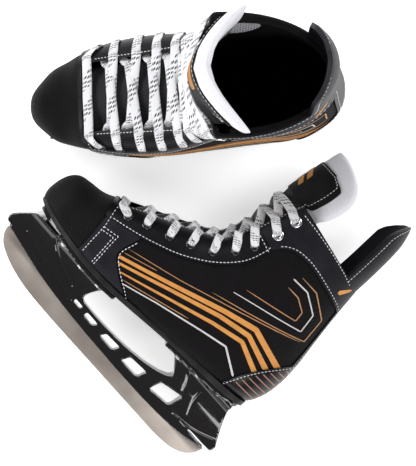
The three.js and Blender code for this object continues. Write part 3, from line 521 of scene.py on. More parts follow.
pieces = {}
pieces["outsole"] = slab("outsole", SOLE_TOP - [0, SEAT], SOLE_UNDER)
round_edges(pieces["outsole"], 0.9, 3, 50)
footbed_form = closed_form("footbed", -CLOTH - 2 * CLEAR - LINING, 1.6)
bed_line = [*(SOLE_TOP + [0, FOOTBED_TOP]), *(SOLE_TOP + [0, FOOTBED_UNDER])[::-1]]
pieces["footbed"] = carve(footbed_form, prism_of("bed", bed_line, -WIDE, WIDE), "INTERSECT", False)

# %% [markdown]
# The holder is one moulding: a beam with five windows over the steel, and two towers that spread
# into plates under the ball and the heel. It is built from its side view and its front view, then
# remeshed, so that every edge gets the small round of a moulded part, and its creases are pressed in.

# %% The blade holder
HOLDER_EDGE = curved([[146, 31.5], [130, 28.5], [108, 24.4], [85, 20.8], [55, 18], [20, 16.2],
                      [-25, 15.2], [-70, 15.3], [-100, 16.8], [-125, 20], [-148, 26]], 4)
TOWERS = [[148.6, 32.5], [151.6, 36], [152, 40.5], [150, 44], [142, 54], [133, 64], [36, 63], [41, 55],
          [45, 45], [45.5, 40], [43.5, 36.6], [40, 35], [25, 34.4], [10, 34.6], [-5, 35.2], [-20, 36.4],
          [-42, 39.8], [-58, 44.2], [-67, 48.4], [-70, 52], [-68.6, 55.6], [-60, 63.4], [-50, 72.5],
          [-60, 74], [-127, 82], [-130, 71], [-140, 54.5], [-149, 41.5], [-152.6, 36.5], [-152.8, 32],
          [-150.4, 28.4]]
WINDOWS = [
    [[49.5, 31.8], [38, 31.5], [39.5, 27.6], [48, 27.9]],
    [[31.5, 31.2], [15, 31], [19, 25.6], [32, 26.4]],
    [[3, 31.2], [-16, 32], [-12, 24.4], [7, 24.8]],
    [[-29.5, 33.4], [-51.5, 35.4], [-48, 24.6], [-25.5, 24.2]],
    [[-68, 39.6], [-93, 46], [-90, 29], [-65, 26]],
]
FRONT_TAPER = curved([[4.9, 0], [5.9, 20], [6.6, 30], [8, 38], [13, 50], [22, 60], [36, 65], [39, 90]])
REAR_TAPER = curved([[4.9, 0], [5.9, 20], [6.6, 30], [8.4, 42], [12.6, 57], [19, 69], [29, 78], [31, 95]])
CREASES = [
    [[108, 60.5], [100, 53], [90, 47], [80, 42.5], [70, 39.5], [62, 37.5]],
    [[128, 41], [100, 33.5], [70, 29.5], [52, 27]],
    [[-55, 69], [-63, 61], [-73, 54]],
    [[-73, 71], [-83, 60], [-88, 50]],
    [[-100, 62], [-103, 50], [-110, 37]],
    [[-100, 27], [-120, 30], [-135, 35], [-146, 40]],
]
PLATES = ((28, 137), (-131.5, -38))  # their ends
PLATE_UNDER, PLATE_INSET = 4.6, 3.5  # their lower side, under the sole's, and how far inside it they stay
VOXEL = 0.9
CREASE_DEPTH, CREASE_WIDTH, CREASE_FROM = 0.9, 1.3, 3  # pressed into the sides only
SLOT_HALF = 1.8


def rounded(outline, count=4, reach=0.28):
    """The outline with its corners rounded."""
    outline = np.asarray(outline, float)
    line = []
    for before, corner, after in zip(np.roll(outline, 1, 0), outline, np.roll(outline, -1, 0)):
        start, end = corner + (before - corner) * reach, corner + (after - corner) * reach
        for f in np.linspace(0, 1, count):
            line.append((1 - f) ** 2 * start + 2 * f * (1 - f) * corner + f * f * end)
    return np.array(line)


def front_view(name, half_line, low, high):
    """A prism along x from half a front view."""
    full = np.concatenate([half_line, (half_line * [-1, 1])[::-1]])
    piece = prism_of(name, full, low, high)
    flat = points_of(piece)
    move_points(piece, np.stack([flat[:, 1], flat[:, 0], flat[:, 2]], axis=1))
    return edit(piece, outward)


side_view = [*rounded(TOWERS), *HOLDER_EDGE[::-1]]
holder = prism_of("holder", side_view, -SOLE_WIDE, SOLE_WIDE)
carve(holder, front_view("front_half", FRONT_TAPER, -12, 160), "INTERSECT", False)
rear = prism_of("rear", side_view, -SOLE_WIDE, SOLE_WIDE)
carve(rear, front_view("rear_half", REAR_TAPER, -160, -10), "INTERSECT", False)
carve(holder, rear, "UNION", False)
for low, high in PLATES:
    x = np.linspace(high, low, 30)
    under = np.stack([x, height_at(SOLE_UNDER, x)], axis=1)
    plate = slab("plate", under - [0, SEAT], under - [0, PLATE_UNDER], PLATE_INSET)
    carve(holder, plate, "UNION", False)
sole_room = [*(SOLE_UNDER - [0, SEAT]), [-149, 130], [160, 130]]
carve(holder, prism_of("sole_room", sole_room, -WIDE, WIDE), keep=False)
for outline in WINDOWS:
    carve(holder, prism_of("window", rounded(outline, 4, 0.12), -20, 20), keep=False)
apply(holder, "REMESH", mode="VOXEL", voxel_size=VOXEL, adaptivity=0.0)
apply(holder, "SMOOTH", factor=0.5, iterations=2)
flat = points_of(holder)
for crease in CREASES:
    line = spaced(curved(crease), 0.8)
    near = np.min(np.hypot(flat[:, 0:1] - line[:, 0], flat[:, 2:3] - line[:, 1]), axis=1)
    depth = CREASE_DEPTH * np.exp(-((near / CREASE_WIDTH) ** 2))
    flat[:, 1] -= np.sign(flat[:, 1]) * depth * (np.abs(flat[:, 1]) > CREASE_FROM)
move_points(holder, flat)
slot_line = [[160, 0], [160, 33], [142, 32], *(HOLDER_EDGE[4:-4] + [0, 7]), [-143, 28], [-160, 27], [-160, 0]]
carve(holder, prism_of("steel_slot", slot_line, -SLOT_HALF, SLOT_HALF), keep=False)
pieces["holder"] = holder
print("holder faces", len(holder.data.polygons))

# %% [markdown]
# The runner is a 3 mm plate of steel. Its lower edge is flat in the middle and rocks up to round
# ends, and its edges are just broken, as ground steel is.

# %% The runner
RUNNER_EDGE = curved([[144.8, 29.4], [144.4, 26], [141.5, 20.5], [135.5, 14.6], [126, 10], [114, 6],
                      [98, 2.7], [78, 0.8], [50, 0]], 6)
RUNNER_REAR = curved([[-100, 0], [-117, 1.4], [-128, 4.2], [-137, 9], [-143.5, 16.5], [-146, 24]], 6)
RUNNER_HALF, RUNNER_DEEP = 1.5, 5  # half its thickness, and how far it goes up into the holder
runner_top = HOLDER_EDGE[3:-3] + [0, RUNNER_DEEP]
runner_line = [*RUNNER_EDGE, *RUNNER_REAR, [-143.4, 27.2], *runner_top[::-1], [142, 31.3]]
pieces["runner"] = prism_of("runner", runner_line, -RUNNER_HALF, RUNNER_HALF)
round_edges(pieces["runner"], 0.25, 2, 60)

# %% [markdown]
# The tongue is one long felt pad. Below it is covered in black cloth and lies behind the lace; above
# the cuff it stands up as thick white felt. It is rolled from a grid whose rings are flat ovals.

# %% The tongue
TONGUE_RISE = np.array([-5, -5, -5, -5, -4.5, -1.5, 2, 5, 8, 10.5, 13, 15, 17, 19.0])
TONGUE_SAG = np.array([14, 14.5, 15, 16, 17, 19, 22, 25, 27, 29, 31, 33, 34, 35.0])
LOWER_RINGS, TONGUE_CURVE = 9, 1.7
low_rows = []
for t in np.linspace(THROAT + 0.15, CUFF - 1, LOWER_RINGS):
    upper, _, rise, *_ = (np.asarray(v) for v in section(t))
    out, sag = smooth(TONGUE_RISE, t - THROAT), smooth(TONGUE_SAG, t - THROAT)
    low_rows.append([upper[0] + rise[0] * out, upper[1] + rise[1] * out, rise[0], rise[1],
                     gap_half(t) - 2.5, sag, 5])
LEAN = np.array([0.995, 0.0995])
TONGUE_TOP = [  # x, z, half width, sag at the sides, thickness
    (-5.6, 257, 42, 34.5, 8), (-6.2, 264, 44.5, 36, 10.5), (-7.6, 277, 49, 37, 12),
    (-9.2, 290, 50, 35.4, 12.5), (-10.4, 300, 47, 31, 12.5), (-11.4, 308.5, 40, 23.5, 12),
    (-12.2, 314.5, 30, 14.5, 10.4), (-13.4, 318.6, 18, 7.6, 6.4)]
high_rows = [[x, z + 0.1 * sag, *LEAN, half, sag, thick] for x, z, half, sag, thick in TONGUE_TOP]
TONGUE_ROWS = np.array(low_rows + high_rows)


def tongue_point(v, share, depth):
    """A point of the tongue: v from its foot to its top, share across it, depth behind its front."""
    row = smooth(TONGUE_ROWS, np.asarray(v) * (len(TONGUE_ROWS) - 1))
    x, z, ax, az, half, sag, _ = (row[..., k] for k in range(7))
    back = -sag * np.abs(share) ** TONGUE_CURVE - depth
    return np.stack([x + ax * back, half * share + sway(x), z + az * back], axis=-1)


def tongue_shape(u, v):
    thick = smooth(TONGUE_ROWS[:, 6], v * (len(TONGUE_ROWS) - 1))
    angle = 2 * np.pi * u
    share = signed_power(np.cos(angle), 0.5)
    edge = 0.5 - 0.5 * signed_power(np.sin(angle), 0.5)
    return tongue_point(v, share, thick * edge)


tongue = tube_of("tongue", 72, 130, tongue_shape)
pieces["tongue"] = tongue
BADGE_ROWS, BADGE_HALF, BADGE_THICK = (8.75, 12.7), 0.88, 1.3  # rows and share of the tongue it covers


def badge_shape(u, v):
    rounding = 1 - 0.3 * ramp(v, 0.78, 1.0) ** 1.6 - 0.1 * ramp(0.5 - v, 0.36, 0.5)
    share = (2 * u - 1) * BADGE_HALF * rounding
    row = BADGE_ROWS[0] + (BADGE_ROWS[1] - BADGE_ROWS[0]) * v
    return tongue_point(row / (len(TONGUE_ROWS) - 1), share, -0.5)


badge = sheet_of("tongue_badge", 44, 34, badge_shape)
apply(badge, "SOLIDIFY", thickness=BADGE_THICK, offset=0.0)
pieces["tongue_badge"] = edit(badge, outward)

# %% [markdown]
# The tendon guard is a stiff, curved tab that stands up behind the ankle. A sheet is bent round the
# back of the leg, its front edges follow the guard's outline, and then it gets its thickness and
# round edges.

# %% The tendon guard
GUARD_THICK = 4.0
GUARD_BACK = np.array([[-124.9, 238, 38, 43], [-124.6, 250, 37.6, 42.6], [-124.2, 263, 37, 42],
                       [-122.8, 285, 37, 42], [-120.6, 303, 36, 40], [-116.6, 316, 33, 37],
                       [-113.4, 322.6, 29.6, 34]])
GUARD_FRONT = np.array([[-103.6, 238], [-103.6, 252], [-103.2, 268], [-102.2, 290], [-101.6, 301],
                        [-104, 309], [-108.6, 317], [-112.4, 322.6]])


def guard_point(turn_share, v):
    x, z, half, deep = (smooth(GUARD_BACK[:, k], v * (len(GUARD_BACK) - 1)) for k in range(4))
    front = np.interp(z, GUARD_FRONT[:, 1], GUARD_FRONT[:, 0])
    reach = np.arccos(np.clip(1 - (front - x) / deep, -1, 1))
    turn = turn_share * reach
    return np.stack([x + deep * (1 - np.cos(turn)), half * np.sin(turn), z], axis=-1)


guard = sheet_of("tendon_guard", 48, 48, lambda u, v: guard_point(2 * u - 1, v))
edit(guard, outward)
apply(guard, "SOLIDIFY", thickness=GUARD_THICK, offset=0.0, use_even_offset=True)
round_edges(guard, 1.2, 3, 60)
pieces["tendon_guard"] = edit(guard, outward)
print("guard and tongue", len(guard.data.polygons), len(tongue.data.polygons))

# %% [markdown]
# Seven enamelled eyelets and two large bright ones hold each side of the lace. Each is a rolled
# ring, turned to lie flat on the leather.

# %% The eyelets
EYELETS = [(77.6, 125.6), (60.4, 133.6), (38.8, 143), (20, 152.7), (1.2, 163.9), (-12.6, 180.1),
           (-21.8, 196.5), (-27.8, 220), (-29.4, 240.8)]
LARGE = 2  # the last ones are large
BORE, EYELET_SEAT = 2.3, 0.5
EYELET_SIZES = {False: (4.8, 1.1), True: (5.6, 1.2)}  # rim and thickness, small and large
ON_LEATHER = CLEAR + LEATHER


def frame_at(point, out, along=(1, 0, 0)):
    """A turn and a place: z along the way out, x as near as possible to along."""
    z = Vector(out).normalized()
    y = z.cross(Vector(along)).normalized()
    x = y.cross(z)
    return Matrix.Translation(Vector(point)) @ Matrix((x, y, z)).transposed().to_4x4()


def eyelet(name, rim, bore, thick):
    """One eyelet round the z axis: a torus pressed flat."""
    ring = started(name, bpy.ops.mesh.primitive_torus_add, major_radius=(rim + bore) / 2,
                   minor_radius=(rim - bore) / 2, major_segments=28, minor_segments=12)
    return edit(ring, lambda: bpy.ops.transform.resize(value=(1, 1, 2 * thick / (rim - bore))))


def joined(name, parts):
    """Several pieces made one."""
    bpy.ops.object.select_all(action="DESELECT")
    for part in parts:
        part.select_set(True)
    bpy.context.view_layer.objects.active = parts[0]
    bpy.ops.object.join()
    parts[0].name = name
    return parts[0]


spots = {}
for sign, name in ((1, "outer"), (-1, "inner")):
    rings = {False: [], True: []}
    for i, (x, z) in enumerate(EYELETS):
        large = i >= len(EYELETS) - LARGE
        at, out = skin(x, z, sign, ON_LEATHER), skin_out(x, z, sign, ON_LEATHER)
        spots[sign, i] = (at, out, float(station_at(x, z)))
        rim, thick = EYELET_SIZES[large]
        ring = eyelet("ring", rim, BORE, thick)
        ring.data.transform(frame_at(at + out * EYELET_SEAT, out))
        rings[large].append(ring)
    pieces[f"eyelets_{name}"] = joined(f"eyelets_{name}", rings[False])
    pieces[f"top_eyelets_{name}"] = joined(f"top_eyelets_{name}", rings[True])
print("eyelet rows", [round(spots[1, i][2], 2) for i in range(len(EYELETS))])

# %% [markdown]
# The lace is one flat ribbon, straight across the first eyelets and then up in crosses. At each
# eyelet it goes over the facing's edge and down the hole, comes back inside the wall and rises from
# under the edge. Its ribbon carries a map of its length and width for the woven dots.

# %% The lace
LACE_HALF, LACE_THICK, LACE_ARCH = 4.3, 1.15, 0.35
PER_SPAN, AROUND_LACE = 9, 14
OVER = 1.7  # how much higher the upper strand of a cross runs
LEAVES, ENTERS = 0.42, 0.1  # stations between an eyelet and the two ends of a cross


def edge_place(t, sign, lift, beyond=0.0):
    """A place at the facing's edge, some way above it and beyond it."""
    upper, lower, rise, half, widest, above, below = section(t, ON_LEATHER + lift)
    share = min(1.0, (gap_half(t) + beyond) / half)
    turn = math.degrees(math.acos(share ** (above / 2)))
    at = form_point(t, np.asarray(turn), sign, ON_LEATHER + lift)
    return at, np.array([rise[0], sign * 0.5, rise[1]])


def middle_place(t, lift, share=0.0):
    """A place over the tongue, some share of the way to one side."""
    upper, lower, rise, *_ = section(t)
    crest = max(float(smooth(TONGUE_RISE, t - THROAT)) + 2.2, 2.6) + lift
    crest -= abs(share) ** TONGUE_CURVE * float(smooth(TONGUE_SAG, t - THROAT)) * 0.45
    x, z = upper + rise * crest
    return np.array([x, share * gap_half(t) + sway(upper[0]), z]), np.array([rise[0], share * 0.4, rise[1]])


def into(sign, i, lead=0.08):
    """Over the edge, down the side of the facing and into an eyelet."""
    at, out, t = spots[sign, i]
    edge, over = edge_place(t - lead, sign, 1.4, 1.0)
    turned, round_edge = edge_place(t - lead, sign, 1.3, 5.5)
    up = (edge - at) / np.linalg.norm(edge - at)
    return [(edge, over, 1.0), (turned, round_edge + np.array([0, sign * 0.8, 0]), 1.0),
            (at + (turned - at) * 0.45 + out * 2.1, out, 1.0), (at + up * 1.2 + out * 1.7, out, 0.86),
            (at - up * 0.4 - out * 0.6, out - up * 0.8, 0.5), (at - up * 0.6 - out * 3.6, -up, 0.45)]


def out_of(sign, i):
    """From inside the wall under the edge, up towards the next cross."""
    t = spots[sign, i][2]
    low, _ = edge_place(t + 0.25, sign, -5.4, -1.5)
    rising, normal = edge_place(t + LEAVES, sign, -3.0, -6.0)
    return [(low, normal, 0.9), (rising, normal, 1.0)]


def cross(a, i, b, j, lift):
    """From one eyelet over the tongue to the next on the other side."""
    ta, tb = spots[a, i][2] + LEAVES, spots[b, j][2] - ENTERS
    between = [(*middle_place(ta + (tb - ta) * f, lift * k, a + (b - a) * f), 1.0)
               for f, k in ((0.26, 0.7), (0.5, 1.0), (0.74, 0.9))]
    return [*out_of(a, i), *between, *into(b, j)]


def bar_across():
    """Straight across between the first two eyelets."""
    inward = [into(1, 0, 0.4)[::-1], into(-1, 0, 0.4)]
    between = [(*middle_place(THROAT + 0.36, 0.4, share), 1.0) for share in (0.45, 0, -0.45)]
    return [*inward[0], *between, *inward[1]]


def climb(side, lift_first):
    """One end of the lace, from side to side up to the last eyelet."""
    path = []
    for i in range(len(EYELETS) - 1):
        path += cross(side, i, -side, i + 1, lift_first if i % 2 == 0 else OVER - lift_first)
        side = -side
    return path


path = climb(1, OVER)[::-1] + bar_across() + climb(-1, 0.0)
rows = np.array([[*at, *(np.asarray(out) / np.linalg.norm(out)), wide] for at, out, wide in path])
samples = (len(rows) - 1) * PER_SPAN
line = smooth(rows, np.linspace(0, len(rows) - 1, samples + 1))
length = np.concatenate([[0], np.cumsum(np.linalg.norm(np.diff(line[:, :3], axis=0), axis=1))])
print("lace length", round(length[-1]), "mm each, with its hidden runs")


def lace_shape(u, v):
    at = np.clip(np.round(v * samples).astype(int), 0, samples)
    way = np.gradient(line[:, :3], axis=0)
    across = unit(np.cross(way, line[:, 3:6]))
    up = unit(np.cross(across, way))
    angle = 2 * np.pi * u
    side = signed_power(np.cos(angle), 0.5) * LACE_HALF * line[at, 6]
    lift = signed_power(np.sin(angle), 0.7) * LACE_THICK / 2
    arch = LACE_ARCH * np.cos(np.pi * side / (2 * LACE_HALF)) * line[at, 6]
    lace_map["run"], lace_map["across"] = v * length[-1], np.cos(angle) * LACE_HALF
    return line[at, :3] + across[at] * side[:, None] + up[at] * (lift + arch)[:, None]


lace_map = {}  # the length and width at every point, filled in as the shape is made
lace = sheet_of("lace", AROUND_LACE, samples, lace_shape)
point_map(lace, "lace_run", np.stack([lace_map["run"], lace_map["across"], 0 * lace_map["run"]], axis=1))
pieces["lace"] = edit(lace, merged, hole_filled, outward)

# %% [markdown]
# White thread holds the panels. One stitch is modelled as a small pressed bead and copied along
# each seam, a little inside the edge of the upper panel, so each row follows the boot's curve.

# %% One stitch, and rows of it
STITCH_PITCH, STITCH_HALF = 3.5, (1.25, 0.42, 0.3)
SEAM_INSET = 2.2  # from a panel's edge to its row of stitches


def laid_along():
    bpy.ops.transform.rotate(value=math.pi / 2, orient_axis="Y", center_override=(0, 0, 0))


def pressed():
    bpy.ops.transform.resize(value=STITCH_HALF)


stitch = started("one_stitch", bpy.ops.mesh.primitive_uv_sphere_add, segments=6, ring_count=4, radius=1)
edit(stitch, laid_along, pressed)
BEAD = points_of(stitch)
BEAD_FACES = [list(face.vertices) for face in stitch.data.polygons]


def beside(line, by):
    """An open side-view line moved to its own left."""
    return line + by * left_of(line)


def sew(name, rows):
    """One piece from rows of stitches. Each row is (places, ways out)."""
    points, polygons = [], []
    for places, outs in rows:
        for at, along, out in zip(places, np.gradient(places, axis=0), outs):
            turn = np.array(frame_at(at, out, along))
            polygons += [[k + len(points) * len(BEAD) for k in face] for face in BEAD_FACES]
            points.append(BEAD @ turn[:3, :3].T + turn[:3, 3])
    thread = copy_of(stitch, name)
    thread.data.clear_geometry()
    thread.data.from_pydata(np.concatenate(points).tolist(), [], polygons)
    pieces[name] = thread


def seam_row(line, sign):
    """A row on the side of the boot, along a side-view line."""
    x, z = spaced(line, STITCH_PITCH).T
    return skin(x, z, sign, ON_LEATHER + 0.1), skin_out(x, z, sign, ON_LEATHER)


def edge_row(low, high, sign, beyond):
    """A row that follows the lacing edge, between two stations."""
    places, outs = zip(*(edge_place(t, sign, 0.1, beyond) for t in np.linspace(low, high, 60)))
    at = spaced(np.array(places), STITCH_PITCH)
    return at, np.array(outs)[np.linspace(0, 59, len(at)).astype(int)]


TOE_ROW = curved([[91, 127], [89.6, 119], [87.6, 112], [85.6, 104], [84.4, 95], [83.4, 85], [82, 74]])
BOX_OUTER = [[84.5, 103], [70, 106.5], [68.4, 92], [66, 73.5]]
BOX_INNER = [[82.6, 100], [72.4, 102.6], [70.6, 90], [68.6, 73.5]]
CUFF_TOP = [[-31, 250.6], [-50, 249.6], [-75, 247], [-98, 243.6], [-112, 240.6]]
for sign, name in ((1, "outer"), (-1, "inner")):
    rows = [
        seam_row(TOE_ROW, sign),
        seam_row(BOX_OUTER, sign),
        seam_row(BOX_INNER, sign),
        seam_row(beside(FACING_SEAM, -SEAM_INSET), sign),
        seam_row(beside(VAMP_SEAM[:-10], -SEAM_INSET)[5:], sign),
        seam_row([[-33, 203.2], [-11, 208.6]], sign),
        seam_row(beside(CUFF_SEAM[4:54], -2.4), sign),
        seam_row(curved(CUFF_TOP), sign),
        seam_row(beside(COUNTER_SEAM[8:52], SEAM_INSET), sign),
        seam_row(BACKSTAY_EDGE[14:] - [2.4, 0], sign),
        edge_row(THROAT + 0.7, CUFF - 0.2, sign, 2.6),
    ]
    sew(f"thread_{name}", rows)
guard_rows = []
for sign in (1, -1):
    v = np.linspace(0.06, 0.93, 60)
    places = spaced(guard_point(sign * 0.9 * np.ones_like(v), v), STITCH_PITCH)
    outs = places - [[-85, 0, 0]] - places * [[0, 0, 1]]
    guard_rows.append((places + unit(outs) * (GUARD_THICK / 2 + 0.1), outs))
sew("thread_guard", guard_rows)
row, same = np.linspace(-1, 1, 160), np.zeros(160)
badge_rows = []
up_side, along_top = 0.5 + 0.44 * row, 0.5 + 0.45 * row
for across, up in ((same + 0.05, up_side), (same + 0.95, up_side), (along_top, same + 0.94)):
    places = spaced(badge_shape(across, up), STITCH_PITCH)
    outs = np.tile([1.0, 0, 0.1], (len(places), 1)) + places * [[0, 0.025, 0]]
    badge_rows.append((places + outs * 0.7, outs))
sew("thread_badge", badge_rows)
sewn = sum(len(piece.data.polygons) for name, piece in pieces.items() if name.startswith("thread"))
print("stitches", sewn // len(BEAD_FACES))

# %% [markdown]
# The woven sides carry a print of slanting bars and fine lines. Each bar is a thin film, a grid laid
# on the cloth along its middle line, with its own width at each end.

# %% The print
FILM = 0.25
FADE_LINE, FADE_BAR = 0.12, 0.004  # the share of its length over which a bar's end gets its full width


def bar_of(line, start_wide, end_wide, sign, fade, layer=0.0):
    """A printed bar along a side-view line."""
    line = spaced(line, 1.6)
    run = np.linspace(0, 1, len(line))
    normal = left_of(line)
    whole = np.clip(np.minimum(run, 1 - run) / fade + 0.25, 0, 1)
    wide = (start_wide + (end_wide - start_wide) * run) * whole

    def shape(u, v):
        at = np.round(u * (len(line) - 1)).astype(int)
        flat = line[at] + normal[at] * ((v - 0.5) * wide[at])[:, None]
        return skin(flat[:, 0], flat[:, 1], sign, layer + FILM)

    bar = sheet_of("bar", len(line) - 1, 2, shape)
    apply(bar, "SOLIDIFY", thickness=FILM, offset=0.0)
    return edit(bar, outward)


ORANGE = [([[56, 95], [0, 116], [-50, 135], [-83, 145.5], [-130.5, 135.2]], 3.0, 6.0),
          ([[52, 90.5], [0, 110.4], [-50, 128.4], [-83, 136.6], [-123, 126]], 2.4, 5.4),
          ([[45, 86], [0, 101.8], [-50, 119], [-83, 128], [-115.4, 116.8]], 1.4, 5.0)]
TAN = [([[55, 106.5], [0, 123.5], [-60, 145], [-122, 169]], 0.7, 1.0),
       ([[-28, 138], [-65, 150], [-125, 172], [-121, 198], [-94.5, 211.5], [-74, 211]], 0.8, 1.3),
       ([[-48, 163.5], [-102, 179], [-100, 189], [-86, 195.5], [-72, 195]], 0.8, 1.3),
       ([[55, 101], [22, 113]], 0.7, 0.7), ([[38, 83], [0, 95], [-32, 105]], 0.7, 0.9)]
WHITE = [([[35, 80.5], [0, 92.3], [-50, 106.7], [-76, 113.5], [-102.9, 99.5]], 1.0, 2.0),
         ([[-41, 153], [-114, 176], [-110, 195], [-88, 205.5], [-69, 204]], 0.8, 1.4)]
HEEL_MARK = ([[-110, 227], [-119, 239]], 5, 2.4)
BAND_HEIGHTS, BAND_HALF = range(140, 97, -6), 0.55
for colour, bars in (("orange", ORANGE), ("tan", TAN), ("white", WHITE)):
    fade = FADE_LINE if colour == "tan" else FADE_BAR
    made = [bar_of(*bar, sign, fade) for sign in (1, -1) for bar in bars]
    if colour == "orange":
        made += [bar_of(*HEEL_MARK, sign, fade, ON_LEATHER) for sign in (1, -1)]
    pieces[f"print_{colour}"] = joined(f"print_{colour}", made)
bands = []
for z in BAND_HEIGHTS:
    low, high = z - BAND_HALF, z + BAND_HALF
    bands.append(prism_of("band", [[-90, low], [-165, low], [-165, high], [-90, high]], -WIDE, WIDE))
counter_print = closed_form("counter_print", ON_LEATHER + 0.3, 8)
carve(counter_print, joined("bands", bands), "INTERSECT", False)
carve(counter_print, forms["leather"])
inside = [*beside(COUNTER_SEAM, 4.5), [-200, 164], [-200, 60]]
carve(counter_print, prism_of("inside", inside, -WIDE, WIDE), "INTERSECT", False)
pieces["print_counter"] = counter_print
CHEVRON = np.array([[0.34, 0.30], [0.5, 0.44], [0.66, 0.30], [0.66, 0.42], [0.5, 0.56], [0.34, 0.42]])
chevrons = []
for higher in (0, 0.2):
    mark = CHEVRON + [0, higher]

    def chevron_shape(u, v, mark=mark):
        low, high = (np.stack([np.interp(u, [0, 0.5, 1], mark[corners, k]) for k in (0, 1)], axis=1)
                     for corners in ([0, 1, 2], [5, 4, 3]))
        flat = low + (high - low) * v[:, None]
        return badge_shape(flat[:, 0], flat[:, 1]) + [0.95, 0, 0.1]

    chevron = sheet_of("chevron", 16, 4, chevron_shape)
    apply(chevron, "SOLIDIFY", thickness=0.5, offset=0.0)
    chevrons.append(edit(chevron, outward))
pieces["badge_mark"] = joined("badge_mark", chevrons)
print("print bars", len(ORANGE) + len(TAN) + len(WHITE), "on each side")

# %% [markdown]
# Finishes are written as Python expressions. Wire wraps one output of a node, so wires add,
# multiply and compare, and Finish makes any node from its type, its settings and its inputs.

# %% Shader helpers


class Wire:
    """One output of a shader node, with arithmetic."""

    def __init__(self, finish, socket):
        self.finish, self.socket = finish, socket

    def maths(self, operation, *values):
        return self.finish.node("ShaderNodeMath", {"operation": operation}, dict(enumerate(values)))

    def __add__(self, other):
        return self.maths("ADD", self, other)

    def __sub__(self, other):
        return self.maths("SUBTRACT", self, other)

    def __rsub__(self, other):
        return self.maths("SUBTRACT", other, self)

    def __mul__(self, other):
        return self.maths("MULTIPLY", self, other)

    def __gt__(self, other):
        return self.maths("GREATER_THAN", self, other)

    def __lt__(self, other):
        return self.maths("LESS_THAN", self, other)

    def __abs__(self):
        return self.maths("ABSOLUTE", self)

    def wave(self, length):
        """A sine of this wire, with a wavelength."""
        return self.maths("SINE", self * (2 * math.pi / length))

    def between(self, low, high):
        """0 below low, 1 above high."""
        values = {0: self, 1: low, 2: high}
        return self.finish.node("ShaderNodeMapRange", {"clamp": True}, values)

    __radd__, __rmul__ = __add__, __mul__


class Finish:
    """A material with its Principled shader."""

    made = {}

    def __init__(self, name, **constants):
        self.material = bpy.data.materials.new(name)
        self.material.use_nodes = True
        self.shader = self.material.node_tree.nodes["Principled BSDF"]
        for socket, value in constants.items():
            self.shader.inputs[socket.replace("_", " ")].default_value = value
        self.made[name] = self

    def node(self, kind, settings, values, output=0):
        made = self.material.node_tree.nodes.new(kind)
        for name, value in settings.items():
            setattr(made, name, value)
        for name, value in values.items():
            self.link(made.inputs[name], value)
        return Wire(self, made.outputs[output])

    def link(self, socket, value):
        if isinstance(value, Wire):
            self.material.node_tree.links.new(value.socket, socket)
        else:
            socket.default_value = value

    def map(self, name="boot"):
        """The three numbers of a point attribute, in millimetres."""
        vector = self.node("ShaderNodeAttribute", {"attribute_name": name}, {}, 1)
        parts = [self.node("ShaderNodeSeparateXYZ", {}, {0: vector}, k) for k in range(3)]
        return vector, *parts

    def noise(self, vector, scale, detail=3.0, stretch=None):
        if stretch:
            vector = self.node("ShaderNodeVectorMath", {"operation": "MULTIPLY"}, {0: vector, 1: stretch})
        return self.node("ShaderNodeTexNoise", {}, {"Vector": vector, "Scale": scale, "Detail": detail})

    def cells(self, vector, scale):
        return self.node("ShaderNodeTexVoronoi", {}, {"Vector": vector, "Scale": scale})

    def mix(self, mask, a, b):
        return self.node("ShaderNodeMix", {"data_type": "RGBA"}, {0: mask, 6: a, 7: b}, 2)

    def set(self, **wires):
        for name, wire in wires.items():
            self.link(self.shader.inputs[name.replace("_", " ")], wire)

    def bump(self, height, distance, strength=1.0):
        values = {"Strength": strength, "Distance": distance * MM, "Height": height}
        self.set(Normal=self.node("ShaderNodeBump", {}, values))


# %% [markdown]
# Each finish has its own fine structure at its real size: leather grain, woven cloth, fine mesh,
# felt fibres, ground steel, moulded gloss.

# %% Leather and cloth


def leather(name, dark, light, rough, grain=1.0, spec=0.2):
    finish = Finish(name, Specular_IOR_Level=spec)
    vector, *_ = finish.map()
    pores, folds = finish.cells(vector, 0.9), finish.noise(vector, 0.06, 2.0)
    worn = finish.noise(vector, 0.35, 4.0)
    finish.set(Base_Color=finish.mix(folds.between(0.35, 0.7), dark, light),
               Roughness=worn * 0.16 + pores * 0.1 + rough)
    finish.bump(pores * 0.8 + worn * 0.5, 0.22 * grain, 0.8)
    return finish


leather("charcoal_leather", (0.004, 0.004, 0.007, 1), (0.009, 0.009, 0.013, 1), 0.36)
leather("facing_leather", (0.003, 0.003, 0.004, 1), (0.006, 0.006, 0.008, 1), 0.24, 0.6)
leather("counter_leather", (0.004, 0.004, 0.005, 1), (0.009, 0.009, 0.011, 1), 0.16, 0.35)
leather("badge_cloth", (0.006, 0.006, 0.007, 1), (0.012, 0.012, 0.014, 1), 0.45)
leather("sole_rubber", (0.008, 0.008, 0.009, 1), (0.02, 0.02, 0.021, 1), 0.38, 0.5)
leather("board_fibre", (0.1, 0.07, 0.045, 1), (0.2, 0.15, 0.1, 1), 0.7)


def girth(x, y, z):
    """A run across the boot that keeps growing from the sole, up the side and over the top."""
    return z - abs(y)


def cloth(name, dark, light, pitch, depth, rough=0.75):
    finish = Finish(name, Specular_IOR_Level=0.16)
    vector, x, y, z = finish.map()
    across = girth(x, y, z)
    warp, weft = x.wave(pitch), across.wave(pitch)
    over = warp * weft
    patch = finish.noise(vector, 0.05, 2.0)
    finish.set(Base_Color=finish.mix(over.between(-0.3, 0.95) * patch.between(0.1, 0.9), dark, light),
               Roughness=patch * 0.15 + rough)
    finish.bump(over + finish.noise(vector, 1.2) * 0.4, depth)
    return finish


